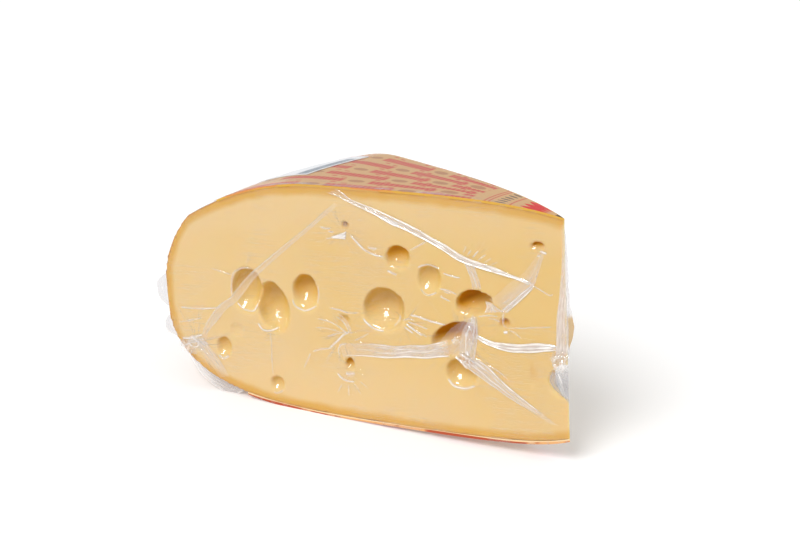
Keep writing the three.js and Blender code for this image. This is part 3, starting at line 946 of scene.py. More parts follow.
def wheel_outline(step=8):
    """Closed outline of half a wheel: out along the top, down the rim, back underneath."""
    face_radii = np.arange(0, FACE_END, step)
    outline = [(r, top_height(r)) for r in face_radii]
    outline += [(r, top_height(r)) for r in (*TOP_SHOULDER_RADII, TOP_EDGE["radius"])]
    for z in np.linspace(TOP_EDGE["height"], UNDERSIDE_EDGE["height"], RIM_STEPS)[1:-1]:
        outline.append((float(rim_radius(z)), z))
    outline += [(r, underside_height(r)) for r in (UNDERSIDE_EDGE["radius"], UNDERSIDE_SHOULDER_RADIUS)]
    outline += [(r, underside_height(r)) for r in face_radii[::-1]]
    return outline


def rind_depth(places):
    """How deep each point lies under the wheel's own surface."""
    r = np.hypot(places[:, 0], places[:, 1])
    z = places[:, 2]
    faces = np.minimum(top_height(r) - z, z - underside_height(r))
    return np.minimum(faces, rim_radius(z) - r)


def cut_depth(places):
    """How deep each point lies behind the nearer cut face."""
    c, s = math.cos(SLICE_ANGLE), math.sin(SLICE_ANGLE)
    from_back = -(places[:, 0] * s + places[:, 1] * c)
    return np.minimum(places[:, 1], from_back)


def eye_tones(places, eyes, to_face=Matrix()):
    """How much painted shade each point takes, most at the top wall of an eye, and how much painted light,
    most at its lower lip.
    """
    back = np.array(to_face.inverted().to_3x3())
    local = places @ back.T
    painted_shade = np.zeros(len(local))
    lit_lip = np.zeros(len(local))
    for eye in eyes:
        across = (local[:, 0] - eye["x"]) / (eye["w"] / 2)
        up = (local[:, 2] - eye["z"]) / (eye["h"] / 2)
        ring = np.hypot(across, up)
        near = (local[:, 1] > -2) & (local[:, 1] < EYE_TONES["behind"] * eye["d"])
        inside = np.clip((EYE_TONES["shade_ring"] - ring) * 2, 0, 1) * near
        deep = (local[:, 1] - EYE_TONES["shade_from"]) / (EYE_TONES["shade_share"] * eye["d"])
        uphill = EYE_TONES["shade_middle"] + EYE_TONES["shade_uphill"] * up - eye.get("left", 0.2) * across
        shade = inside * np.clip(deep, 0, 1) * np.clip(uphill, 0, 1)
        painted_shade = np.maximum(painted_shade, eye["painted_shade"] * shade)
        lip = np.clip((EYE_TONES["lit_lip_ring"] - ring) * 4, 0, 1) * np.clip(-1.6 * up - 0.1, 0, 1) * near
        lit_lip = np.maximum(lit_lip, lip * min(1, eye["h"] / EYE_TONES["lit_lip_height"]))
    return np.minimum(painted_shade, 1), lit_lip


def soften_lips(obj, eyes, to_face=Matrix()):
    """Smooths the lower lips of the eyes, where the cut has rounded over."""
    _, lit_lip = eye_tones(vertex_places(obj), eyes, to_face)
    group = obj.vertex_groups.new(name="lips")
    for index in np.nonzero(lit_lip > 0.02)[0]:
        group.add([int(index)], float(lit_lip[index]), "REPLACE")
    apply_modifier(obj, "SMOOTH", vertex_group="lips", **LIP_ROUNDING)
    obj.vertex_groups.clear()


def write_tones(obj, places, front_eyes, back_eyes):
    front = eye_tones(places, front_eyes)
    back = eye_tones(places, back_eyes, TO_BACK_FACE)
    write_attribute(obj, "eye_painted_shade", np.maximum(front[0], back[0]))
    write_attribute(obj, "eye_lip_painted_light", np.maximum(front[1], back[1]))


def hollowed_slice(name, balls, back_eyes):
    """A slice of the wheel with the balls cut out, remeshed evenly and its lower lips softened."""
    body = turned_solid(name, wheel_outline(), 0, SLICE_ANGLE, SLICE_STEPS)
    hollow_out(body, balls)
    apply_modifier(body, "REMESH", mode="VOXEL", voxel_size=VOXEL * MM, adaptivity=0)
    apply_modifier(body, "SMOOTH", **EVENING_OUT)
    soften_lips(body, FRONT_EYES)
    soften_lips(body, back_eyes, TO_BACK_FACE)
    return body


def make_cheese(back_eyes):
    balls = [eye_ball(eye, 1.0) for eye in FRONT_EYES + [TIP_BITE]]
    balls += [eye_ball(eye, 1.0, TO_BACK_FACE) for eye in back_eyes]
    cheese = hollowed_slice("cheese", balls, back_eyes)
    places = vertex_places(cheese)
    depth = rind_depth(places)
    write_attribute(cheese, "rind_depth", depth)
    # hollow_depth places the painted shade deep in the hollows.
    write_attribute(cheese, "hollow_depth", np.where(depth > RIND_SKIN, cut_depth(places), 0))
    write_tones(cheese, places, FRONT_EYES + [TIP_BITE], back_eyes)
    smooth(cheese)
    return cheese


# ------------------------------------------------------------------ the film's skin

FILM_GAP = 0.35
FILM_OVER_LABEL = 1.3
FILM_OVER_STICKER = 2.1
# The film stands off the faces a little past the paper: by millimetres, and by a share of the slice.
LABEL_BORDER = 4
STICKER_BORDER = {"width": 3, "share": 0.02}
ON_FACE = 0.6
EDGE_DROOP = {"drop": 1.5, "least": 0.25, "wave": 90, "forward": 0.3, "reach": 3}
LABEL_LAP = {"out": 0.25, "over": 1.3}
FLOOR_CLEARANCE = 0.8


def edge_drop(x):
    """How far the label and the film over it hang down at the lower front edge."""
    share = [0.5 + 1.4 * noise.noise(Vector((value / EDGE_DROOP["wave"], 3.7, 0))) for value in x]
    return EDGE_DROOP["drop"] * np.clip(share, EDGE_DROOP["least"], 1)


def floor_below(x, y):
    """Height of the floor in the wheel's frame below a point, in millimetres."""
    up = SETTLED.to_3x3().transposed() @ Vector((0, 0, 1))
    return -(SETTLED.translation.z / MM + up.x * x + up.y * y) / up.z


def make_film_skin(cheese, back_eyes):
    """A closed skin of film: it follows the cheese, but bridges the tip's bite and some of the eyes."""
    balls = [eye_ball(eye, eye["film"]) for eye in FRONT_EYES]
    balls += [eye_ball(eye, eye["film"], TO_BACK_FACE) for eye in back_eyes]
    film = hollowed_slice("film_skin", balls, back_eyes)
    apply_modifier(film, "DISPLACE", strength=FILM_GAP * MM, mid_level=0)
    apply_modifier(film, "SHRINKWRAP", target=cheese, wrap_method="NEAREST_SURFACEPOINT",
                   wrap_mode="OUTSIDE", offset=FILM_GAP * MM)
    places = vertex_places(film)
    lift_over_labels(places)
    move_vertices(film, places)
    write_tones(film, places, FRONT_EYES, back_eyes)
    smooth(film)
    return film


def lift_over_labels(places):
    """Moves the places of the film's skin off the labels and the sticker, and lets it droop in front."""
    r = np.hypot(places[:, 0], places[:, 1])
    over = places[:, 2] - top_height(r)
    under = places[:, 2] - underside_height(r)
    angle = np.arctan2(places[:, 1], -places[:, 0]) / SLICE_ANGLE
    lift = np.full(len(r), FILM_OVER_LABEL)
    on_sticker = (angle > STICKER["from"] - STICKER_BORDER["share"]) \
        & (angle < STICKER["to"] + STICKER_BORDER["share"]) & (r > STICKER["inner"] - STICKER_BORDER["width"])
    lift[on_sticker] = FILM_OVER_STICKER
    on_top = (over > -ON_FACE) & (r < TOP_LABEL_RADIUS + LABEL_BORDER)
    places[:, 2] = np.where(on_top, np.maximum(places[:, 2], top_height(r) + lift), places[:, 2])
    on_underside = (under < ON_FACE) & (r < UNDERSIDE_LABEL_RADIUS + LABEL_BORDER)
    at_edge = np.clip(1 - places[:, 1] / EDGE_DROOP["reach"], 0, 1) * on_underside
    low = underside_height(r) - FILM_OVER_LABEL - edge_drop(places[:, 0]) * at_edge
    places[:, 2] = np.where(on_underside, np.minimum(places[:, 2], low), places[:, 2])
    places[:, 1] -= EDGE_DROOP["forward"] * at_edge
    places[:, 2] = np.maximum(places[:, 2], floor_below(places[:, 0], places[:, 1]))


# ------------------------------------------------------------------ labels and sticker

LABEL_STEPS, STICKER_STEPS = 40, 24
SMOOTH_EDGE = 40
TOUCHING = 0.01


def sheet_outline(height, near, far, inner, outer, step=6):
    """Closed outline of a sheet that follows a face's height, between near and far from it."""
    radii = [*np.arange(inner, outer, step), outer]
    near_side = [(r, height(r) + near) for r in radii]
    return near_side + [(r, height(r) + far) for r in radii[::-1]]


def make_labels():
    near, far = LABEL_GAP, LABEL_GAP + LABEL_THICKNESS
    top_sheet = sheet_outline(top_height, near, far, 0, TOP_LABEL_RADIUS)
    underside_sheet = sheet_outline(underside_height, -near, -far, 0, UNDERSIDE_LABEL_RADIUS)
    top = turned_solid("top_label_paper", top_sheet, 0, SLICE_ANGLE, LABEL_STEPS)
    underside = turned_solid("underside_label_paper", underside_sheet, 0, SLICE_ANGLE, LABEL_STEPS)
    places = vertex_places(underside)
    off = underside_height(np.hypot(places[:, 0], places[:, 1])) - places[:, 2]
    far_side = (places[:, 1] < TOUCHING) & (off > near + TOUCHING)
    places[far_side, 2] -= edge_drop(places[far_side, 0])
    move_vertices(underside, places)
    lap_over_cut(top, top_height, near, -1)
    lap_over_cut(underside, underside_height, near, 1)
    for label in (top, underside):
        smooth(label, SMOOTH_EDGE)
    return top, underside


def lap_over_cut(label, height, gap, way):
    """Laps the cheese's side of a label's cut edges a little over the cut faces, up or down by way."""
    places = vertex_places(label)
    off = np.abs(places[:, 2] - height(np.hypot(places[:, 0], places[:, 1])))
    at_cut = cut_depth(places) < TOUCHING
    lip = at_cut & (off < gap + TOUCHING)
    at_front = places[:, 1] < TOUCHING
    backwards = (math.sin(SLICE_ANGLE), math.cos(SLICE_ANGLE), 0)
    outward = np.where(at_front[:, None], (0, -1, 0), backwards)
    places[at_cut] += outward[at_cut] * LABEL_LAP["out"]
    places[lip, 2] += way * (gap + LABEL_LAP["over"])
    places[:, 2] = np.maximum(places[:, 2], floor_below(places[:, 0], places[:, 1]))
    move_vertices(label, places)
    write_attribute(label, "lip", lip)


def make_sticker():
    lift = 2 * LABEL_GAP + LABEL_THICKNESS
    outline = sheet_outline(top_height, lift, lift + LABEL_THICKNESS, STICKER["inner"], STICKER["outer"], 4)
    sticker = turned_solid("weight_sticker_paper", outline,
                           STICKER["from"] * SLICE_ANGLE, STICKER["to"] * SLICE_ANGLE, STICKER_STEPS)
    smooth(sticker, SMOOTH_EDGE)
    return sticker


# ------------------------------------------------------------------ folds in the film

# Bands of folded film on the front cut face, between a left and a right edge of (x, z). haze is
# how milky the band is at its start, middle and end, white how white its two edges are, partly milky
# film and partly painted highlight, and rise how far they stand out. Each inner line runs at a share
# of the width and is as white as its last value. ends says over what share of the length the two ends
# fade, soft over what share of the width the left edge does, line how wide the lines are, and shade
# how much painted shadow darkens the film.
RIBBONS = {
    "long_pleat": {
        "left": [(-229.5, 107), (-219, 104.5), (-211, 101), (-197, 95.5), (-185, 91), (-172.5, 85),
                 (-165.5, 81.5), (-155.5, 78.5), (-143, 73.5), (-130, 68), (-118.5, 62.5), (-107.5, 56),
                 (-97, 51), (-82.5, 47.5), (-66.5, 44), (-52, 41), (-41, 38), (-30.5, 34.5)],
        "right": [(-220.5, 111), (-213, 107), (-207, 102.5), (-195, 98.5), (-182, 94.5), (-167, 89),
                  (-159, 86), (-150.5, 82.5), (-137.5, 77), (-127, 71.5), (-113.5, 65.5), (-102, 59),
                  (-92, 54.5), (-80.5, 51.5), (-65, 47.5), (-51, 42.5), (-40.5, 39.5), (-30, 36)],
        "haze": (0.12, 0.34, 0.3), "white": (1.9, 1.5), "rise": 1.1, "inner": [((0.4, 0.5, 0.5), 0.5)],
        "line": 0.95,
    },
    "branch_down": {
        "left": [(-95, 51), (-91.5, 42), (-89, 34), (-88, 26.5)],
        "right": [(-87, 51), (-84.5, 42.5), (-82, 34.5), (-80.5, 27)],
        "haze": (0.4, 0.3, 0.15), "white": (0.3, 0.3), "rise": 0.5, "inner": [((0.5, 0.45, 0.5), 0.3)],
    },
    "corner_veil": {
        "left": [(-72, 17.5), (-62.5, 25), (-52.5, 34.5), (-40.5, 43.5), (-31, 54.5), (-23, 66)],
        "right": [(-58, 7.5), (-48.5, 17), (-38.5, 26.5), (-30.5, 34.5), (-25.5, 47.5), (-19.5, 65.5)],
        "haze": (0.22, 0.26, 0.08), "white": (0.0, 0.2), "rise": 0.4,
        "inner": [((0.6, 0.7, 0.6), 0.15)], "soft": 0.5,
    },
    "corner_line": {
        "left": [(-61, 8.5), (-51, 17.5), (-41.5, 26.5), (-30.5, 35.5)],
        "right": [(-57, 7), (-48, 15.5), (-38.5, 24.5), (-29.5, 34)],
        "haze": (0.4, 0.35, 0.3), "white": (0.6, 0.75), "rise": 1.0, "inner": [],
    },
    "torn_flap": {
        "left": [(-76, 16.5), (-75, 11), (-77.5, 5)],
        "right": [(-72, 16), (-65.5, 11), (-58, 7.5)],
        "haze": (0.45, 0.4, 0.3), "white": (0.35, 0.5), "rise": 0.8,
        "inner": [((0.5, 0.5, 0.5), 0.25)],
    },
    "tip_pleat": {
        "left": [(-88.5, -18), (-79, -23.5), (-67, -27), (-55, -29), (-43.5, -28.5), (-31, -27),
                 (-18.5, -24.5), (-9, -23)],
        "right": [(-87.5, -15.5), (-81.5, -19), (-71, -22), (-59.5, -22.5), (-45, -22), (-30.5, -19.5),
                  (-18.5, -19), (-9, -20)],
        "haze": (0.4, 0.5, 0.5), "white": (1.7, 1.6), "rise": 0.9, "line": 0.9,
        "inner": [((0.5, 0.4, 0.55), 0.7)],
    },
    "middle_band": {
        "left": [(-226, -52), (-212, -50), (-198, -49), (-179, -48.5), (-157, -45.5), (-138.5, -44.5),
                 (-126.5, -42), (-114, -40)],
        "right": [(-228.5, -41.5), (-211, -38.5), (-197, -37), (-183.5, -36.5), (-169, -36.5),
                  (-153.5, -34), (-137, -32), (-115.5, -25)],
        "haze": (0.06, 0.42, 0.5), "white": (1.5, 0.5), "rise": 0.7,
        "inner": [((0.6, 0.35, 0.6), 0.4), ((0.9, 0.75, 0.3), 0.25)], "ends": (0.45, 0.08),
    },
    "low_pleat": {
        "left": [(-103.5, -42), (-95.5, -50), (-75.5, -62.5), (-56, -74), (-33.5, -85.5),
                 (-17.5, -94.5)],
        "right": [(-93, -38), (-78.5, -45), (-60, -61.5), (-45, -72.5), (-28, -84), (-11.5, -95)],
        "haze": (0.42, 0.28, 0.2), "white": (0.6, 0.7), "rise": 1.1,
        "inner": [((0.35, 0.4, 0.5), 0.5), ((0.7, 0.75, 0.5), 0.35)], "ends": (0.08, 0.3),
    },
    "thin_pleat": {
        "left": [(-222.5, 97.5), (-236, 87.5), (-252, 74), (-279, 54), (-307, 32.5), (-324, 18.5),
                 (-337.5, 4.5), (-347, -5.5), (-358.5, -13), (-370, -25), (-379.5, -38.5),
                 (-384.5, -50.5)],
        "right": [(-220.5, 96.5), (-233.5, 86), (-249.5, 73), (-276, 52), (-303.5, 29.5), (-319, 15.5),
                  (-331.5, 1), (-341, -9), (-353, -17.5), (-364.5, -30), (-375.5, -41.5),
                  (-380, -52.5)],
        "haze": (0.06, 0.1, 0.2), "white": (0.3, 0.2), "rise": 0.3, "inner": [],
    },
    "low_left_veil": {
        "left": [(-399, -52), (-388.5, -64), (-378, -75.5), (-366.5, -90)],
        "right": [(-383.5, -50.5), (-374, -62), (-365, -74), (-357, -88)],
        "haze": (0.3, 0.24, 0.1), "white": (0.1, 0.2), "rise": 0.3,
        "inner": [((0.35, 0.4, 0.5), 0.25), ((0.7, 0.7, 0.7), 0.3)], "ends": (0.15, 0.3), "soft": 0.3,
    },
    "gathered_veil": {
        "left": [(-98.5, -3.5), (-111, -13.5), (-121.5, -25.5), (-130, -36)],
        "right": [(-89.5, 1), (-88.5, -12.5), (-91.5, -27), (-104, -40)],
        "haze": (0.14, 0.1, 0.14), "white": (0.0, 0.1), "rise": 0.5,
        "inner": [((0.3, 0.35, 0.4), 0.15), ((0.6, 0.6, 0.65), 0.2)], "soft": 0.5,
    },
    "pinch_splash": {
        "left": [(-229.5, 64.5), (-222, 67), (-212.5, 71)],
        "right": [(-228.5, 64), (-220.5, 64.5), (-214, 64)],
        "haze": (0.5, 0.95, 0.95), "white": (0.9, 0.9), "rise": 0.8, "inner": [((0.5, 0.5, 0.5), 0.9)],
    },
    "tip_strip": {
        "left": [(-2, 92), (-2.5, 62), (-5.5, 30), (-9, 5), (-10, -18.5), (-12, -33.5)],
        "right": [(1.5, 92), (1.5, 62), (1.5, 30), (1, 6), (0.5, -17), (0, -32)],
        "haze": (0.14, 0.5, 0.58), "white": (0.1, 0.15), "rise": 0.08,
        "inner": [((0.3, 0.35, 0.3), 0.12), ((0.7, 0.65, 0.7), 0.2)], "ends": (0.3, 0.1),
    },
    "gathered_strand": {
        "left": [(-89, 1), (-97, -9.5), (-102.5, -24), (-104, -38.5)],
        "right": [(-86, 1), (-85.5, -12.5), (-87.5, -27.5), (-90.5, -42.5)],
        "haze": (0.15, 0.2, 0.2), "white": (0.15, 0.5), "rise": 1.2,
        "inner": [((0.4, 0.3, 0.45), 0.5), ((0.6, 0.75, 0.6), 0.5)],
    },
    # Over the tip's bite the film is painted darker, as shadow from the shaded floor behind.
    "over_bite": {
        "left": [(-14.5, -44), (-17, -53), (-12, -60.5), (-6, -66)],
        "right": [(-0.5, -39), (0, -50), (0, -61.5), (0.5, -73)],
        "haze": (0.5, 0.5, 0.45), "white": (0.3, 0.1), "rise": 0.4,
        "inner": [((0.3, 0.35, 0.3), 0.35), ((0.65, 0.6, 0.6), 0.2)], "shade": 0.8,
    },
    "bite_shadow": {
        "left": [(-6, -45), (-4.5, -56.5), (-3, -67.5)],
        "right": [(-1.5, -44.5), (-1, -56), (-0.5, -69)],
        "haze": (0.3, 0.6, 0.5), "white": (0.0, 0.0), "rise": 0.5, "inner": [], "ends": (0.4, 0.3),
        "shade": 1.0,
    },
    "bite_shadow_streak": {
        "left": [(-14, -49), (-12, -55.5), (-8.5, -60.5)],
        "right": [(-11.5, -47.5), (-8.5, -54.5), (-5.5, -61)],
        "haze": (0.1, 0.6, 0.5), "white": (0.0, 0.0), "rise": 0.5, "inner": [], "ends": (0.5, 0.3),
        "shade": 1.0,
    },
}

# Single thin creases on the front cut face: the path, its width, height and whiteness. Their white lines are
# partly milky film and partly painted highlight.
CREASES = [
    ([(-209, 68), (-203, 62), (-195, 55), (-185, 51), (-176, 50)], 1.6, 0.5, 0.75),
    ([(-207, 67), (-201, 60), (-196, 57)], 1.2, 0.4, 0.35),
    ([(-192, 58), (-186, 57), (-182, 57)], 1.8, 0.6, 0.85),
    ([(-240, 74), (-235, 73), (-229, 73)], 1.5, 0.4, 0.6),
    ([(-232, 70), (-226, 70)], 1.4, 0.4, 0.6),
    ([(-235, 63), (-229, 64)], 1.2, 0.4, 0.5),
    ([(-149, 58), (-140, 63), (-131, 68)], 1.4, 0.4, 0.3),
    ([(-142, 42), (-139, 44), (-132, 46), (-126, 45), (-120, 43)], 1.4, 0.4, 0.5),
    ([(-117, 39), (-108, 37), (-100, 36)], 1.4, 0.4, 0.75),
    ([(-121, 24), (-113, 23), (-104, 20)], 1.3, 0.4, 0.55),
    ([(-117, 22), (-110, 20)], 1.2, 0.4, 0.4),
    ([(-121, 17), (-116, 15), (-111, 13)], 1.3, 0.4, 0.6),
    ([(-152, -4), (-144, -5), (-136, -7), (-126, -9), (-117, -10)], 1.7, 0.5, 0.85),
    ([(-155, -11), (-146, -13), (-135, -16)], 1.3, 0.4, 0.6),
    ([(-157, -13), (-149, -18), (-141, -23)], 1.5, 0.5, 0.8),
    ([(-159, -16), (-154, -19), (-150, -22)], 1.3, 0.4, 0.7),
    ([(-156, -14), (-151, -17), (-146, -20)], 1.2, 0.4, 0.6),
    ([(-160, -10), (-154, -8), (-148, -9)], 1.2, 0.4, 0.4),
    ([(-148, -19), (-142, -21), (-136, -24)], 1.1, 0.4, 0.35),
    ([(-236, -5), (-226, -6), (-218, -8), (-206, -7)], 1.5, 0.5, 0.6),
    ([(-230, -13), (-224, -16), (-219, -22), (-217, -28)], 1.5, 0.5, 0.45),
    ([(-228, -10), (-221, -15), (-216, -23), (-215, -30)], 1.2, 0.4, 0.35),
    ([(-250, -17), (-237, -19), (-226, -24), (-218, -30)], 1.2, 0.4, 0.4),
    ([(-253, -26), (-240, -26), (-227, -28)], 1.1, 0.4, 0.3),
    ([(-241, -34), (-230, -30), (-219, -27)], 1.2, 0.4, 0.45),
    ([(-239, -45), (-231, -38), (-224, -31), (-217, -27)], 1.8, 0.6, 0.8),
    ([(-229, -52), (-230, -47), (-227, -41), (-220, -39)], 1.6, 0.5, 0.45),
    ([(-212, -35), (-204, -31), (-196, -26)], 1.2, 0.3, 0.3),
    ([(-258, -51), (-250, -48), (-237, -45)], 1.5, 0.4, 0.5),
    ([(-261, -53), (-265, -61), (-269, -69)], 1.3, 0.4, 0.35),
    ([(-201, -12), (-198, -16), (-192, -20), (-186, -22), (-180, -22)], 1.9, 0.5, 0.9),
    ([(-162, -5), (-164, -11), (-169, -16)], 1.6, 0.4, 0.3),
    ([(-117, -62), (-112, -68), (-106, -70), (-99, -70), (-90, -66)], 2.4, 0.5, 0.55),
    ([(-233, -70), (-228, -75), (-221, -77), (-215, -77)], 1.9, 0.5, 0.6),
    ([(-224, -69), (-220, -70), (-214, -68)], 3.4, 0.6, 0.6),
    ([(-339, -9), (-333, -14), (-327, -16), (-320, -15), (-315, -7)], 1.6, 0.5, 0.8),
    ([(-344, -3), (-344, 6), (-342, 17), (-338, 23), (-329, 27), (-320, 27)], 1.5, 0.4, 0.35),
    ([(-317, -28), (-313, -34), (-307, -35), (-300, -33), (-294, -30)], 1.7, 0.5, 0.75),
    ([(-304, -37), (-304, -50), (-305, -65), (-305, -80)], 1.1, 0.3, 0.3),
    ([(-366, -66), (-361, -69), (-354, -66)], 2, 0.5, 0.5),
    ([(-306, -98), (-302, -99), (-295, -95)], 1.6, 0.4, 0.35),
    ([(-173, 37), (-168, 35), (-163, 34)], 2, 0.5, 0.85),
    ([(-140, 23), (-137, 19), (-132, 17), (-124, 20)], 1.6, 0.4, 0.4),
    ([(-276, 0), (-274, -6), (-265, -10), (-257, -8), (-250, -4)], 1.7, 0.5, 0.65),
    ([(-249, -2), (-247, 7), (-247, 16)], 1.2, 0.3, 0.3),
    ([(-394, -20), (-378, -19), (-359, -16)], 1.5, 0.4, 0.5),
    ([(-406, -20), (-399, -20), (-392, -20)], 1.6, 0.4, 0.6),
    ([(-409, -36), (-397, -33), (-382, -29)], 1.3, 0.4, 0.3),
    ([(-408, -53), (-396, -51), (-383, -47)], 2.2, 0.7, 0.7),
    ([(-406, -60), (-395, -56), (-384, -54)], 1.8, 0.6, 0.6),
    ([(-403, -56), (-392, -53), (-381, -51)], 1.6, 0.6, 0.5),
    ([(-365, 24), (-354, 21), (-343, 19)], 1.2, 0.3, 0.3),
    ([(-109, -40), (-103, -44), (-97, -51)], 2, 0.8, 0.9),
    ([(-104, -37), (-96, -40), (-88, -45)], 1.6, 0.7, 0.8),
    ([(-31, 35), (-23, 31), (-15, 27), (-12, 29)], 1.2, 0.4, 0.4),
    ([(-23, 67), (-20, 66), (-17, 65)], 2, 0.5, 0.9),
    ([(-26, 62), (-22, 63)], 1.6, 0.4, 0.5),
    ([(-59, 7), (-60, 2), (-60, -4), (-57, -7)], 1.4, 0.4, 0.35),
    ([(-60, -12), (-56, -11)], 2.2, 0.5, 0.8),
    ([(-57, -7), (-44, -6), (-30, -4), (-14, -2)], 1.1, 0.3, 0.3),
    ([(-55, -9), (-49, -11), (-44, -15)], 1.2, 0.4, 0.4),
    ([(-63, -2), (-69, 0), (-74, 0)], 1.3, 0.4, 0.5),
    ([(-84, 1), (-75, 3), (-65, 3)], 1.2, 0.4, 0.35),
    ([(-96, 60), (-93, 66)], 1, 0.3, 0.4),
    ([(-92, 58), (-88, 63)], 1, 0.3, 0.45),
    ([(-87, 56), (-81, 63)], 1, 0.3, 0.45),
    ([(-82, 54), (-74, 60)], 1, 0.3, 0.4),
    ([(-76, 52), (-69, 57)], 1, 0.3, 0.35),
    ([(-71, 50), (-63, 54)], 1, 0.3, 0.3),
    ([(-229, -81), (-234, -90)], 1, 0.3, 0.25),
    ([(-222, -81), (-222, -92)], 1, 0.3, 0.25),
    ([(-215, -79), (-209, -89)], 1, 0.3, 0.3),
    ([(-209, -76), (-201, -82)], 1, 0.3, 0.25),
    ([(-78, -45), (-67, -49), (-58, -56)], 1.2, 0.4, 0.3),
    ([(-116, -27), (-124, -31), (-130, -36)], 1.3, 0.6, 0.4),
    ([(-176, 88), (-170, 85), (-163, 82), (-159, 80)], 3.2, 0.6, 1.0),
    ([(-98, -19), (-95, -16)], 3, 0.9, 1.0),
    ([(-97, -33), (-95, -38)], 3, 0.9, 1.0),
    ([(-93, -8), (-92, -13)], 2.4, 0.7, 0.9),
    ([(-10, -44), (-7, -52), (-4, -62)], 2, 0.5, 0.7),
]

CURVE_STEPS = 24
PATH_STEPS = 200
FOLD_GAP = FILM_GAP + 0.1
MILKIEST = 0.95


def fold_curve(points, steps):
    """Evenly spaced places along a smooth line through the points, with the way it heads."""
    padded = [points[0]] + list(points) + [points[-1]]
    fine = []
    for corners in zip(padded, padded[1:], padded[2:], padded[3:]):
        a, b, c, d = (Vector(corner) for corner in corners)
        for step in range(CURVE_STEPS):
            t = step / CURVE_STEPS
            fine.append(0.5 * (2 * b + (c - a) * t + (2 * a - 5 * b + 4 * c - d) * t ** 2
                               + (3 * b - a - 3 * c + d) * t ** 3))
    fine.append(Vector(points[-1]))
    travelled = np.cumsum([0] + [(q - p).length for p, q in zip(fine, fine[1:])])
    even = np.linspace(0, travelled[-1], steps + 1)
    xs = np.interp(even, travelled, [p.x for p in fine])
    zs = np.interp(even, travelled, [p.y for p in fine])
    heading = np.stack([np.gradient(xs), np.gradient(zs)], axis=1)
    heading /= np.linalg.norm(heading, axis=1)[:, None]
    return np.stack([xs, zs], axis=1), heading, even


def part_way(rows, share):
    """The place at a share of the way along rows of places, and the number of the row before it."""
    at = share * (len(rows) - 1)
    low = min(int(at), len(rows) - 2)
    part = at - low
    return rows[low] * (1 - part) + rows[low + 1] * part, low


def waver(*place):
    """Smooth noise from -1 to 1, the same each time."""
    return noise.noise(Vector(place))


def by_thirds(share, values):
    """Runs through the values at the start, the middle and the end."""
    return np.interp(share, (0, 0.5, 1), values)


def laid_sheet(name, along, across, place):
    """A grid of film whose points are put where place(s, t) says.

    s runs from 0 to 1 along the sheet and t from -1 to 1 across it. place gives the point in
    millimetres, how milky the film is there, how white that milk is, partly as painted highlight, and
    how far along and across the film the point is, in millimetres."""
    deselect()
    bpy.ops.mesh.primitive_grid_add(x_subdivisions=along, y_subdivisions=across, size=2)
    sheet = bpy.context.active_object
    sheet.name = name
    laid = [place((vertex.co.x + 1) / 2, vertex.co.y) for vertex in sheet.data.vertices]
    places, hazes, whites, lays = zip(*laid)
    move_vertices(sheet, np.array(places))
    write_attribute(sheet, "fold_haze", hazes)
    write_attribute(sheet, "fold_white_and_glint", whites)
    uv = sheet.data.uv_layers[0]
    uv.name = "along_fold"
    for loop in sheet.data.loops:
        uv.data[loop.index].uv = lays[loop.vertex_index]
    return sheet


# How a crease's strip is laid: its size against the width in CREASES, how wide its ends and how much
# wider its middle is, how far it lies off the skin, and the size of its grid's cells.
CREASE_STRIP = {"width": 2.8, "ends": 0.4, "swell": 0.25, "flat": 0.05, "along": 1.4, "across": 0.45}
# Its crest against the height and width in CREASES, and how milky the strip and the crest are. The crest's
# white is partly painted highlight.
CREASE_CREST = {"height": 0.6, "half": 0.6, "sharp": 1.5, "haze": 0.05, "line": 1.5}


def laid_crease(name, path, width, height, white, seed):
    """A low crest that wanders down the middle of a narrow strip of film."""
    spots, heading, travelled = fold_curve(path, PATH_STEPS)
    length = travelled[-1]
    strip = width * CREASE_STRIP["width"]
    half = width * CREASE_CREST["half"]

    def place(s, t):
        spot, low = part_way(spots, s)
        side = np.array([-heading[low][1], heading[low][0]])
        run = s * length
        swell = CREASE_STRIP["ends"] + CREASE_STRIP["swell"] * math.sin(math.pi * s)
        fade = min(1, 12 * s, 12 * (1 - s)) ** 0.5
        rim = min(1, 5 * (1 - abs(t))) ** 0.7
        wobble = waver(run * 0.05, seed, 0)
        gap = (t - 0.35 * waver(run * 0.07, seed, 5)) * strip / 2 * swell / half
        lift = 0.75 + 0.7 * waver(run * 0.11, seed, 0)
        crest = math.exp(-abs(gap) ** CREASE_CREST["sharp"])
        rise = CREASE_STRIP["flat"] + height * CREASE_CREST["height"] * lift * crest
        rise = (rise + 0.25 * waver(run * 0.25, t * 4, seed)) * rim
        x, z = spot + side * (t + 0.15 * wobble) * strip / 2 * swell
        line = max(0, crest ** 2 * lift) * white * CREASE_CREST["line"]
        haze = (CREASE_CREST["haze"] * (0.9 + 0.3 * wobble) + line) * fade * rim
        return (x, -FOLD_GAP - rise * fade, z), min(haze, MILKIEST), min(1, 1.5 * line), (run, t * strip / 2)

    along = max(8, int(length / CREASE_STRIP["along"]))
    across = max(8, int(strip / CREASE_STRIP["across"]))
    return laid_sheet(name, along, across, place)


LINE_WIDTH = 0.75
RIBBON_MARGIN = 0.9
RIBBON_CELL = {"along": 1.2, "across": 0.4}


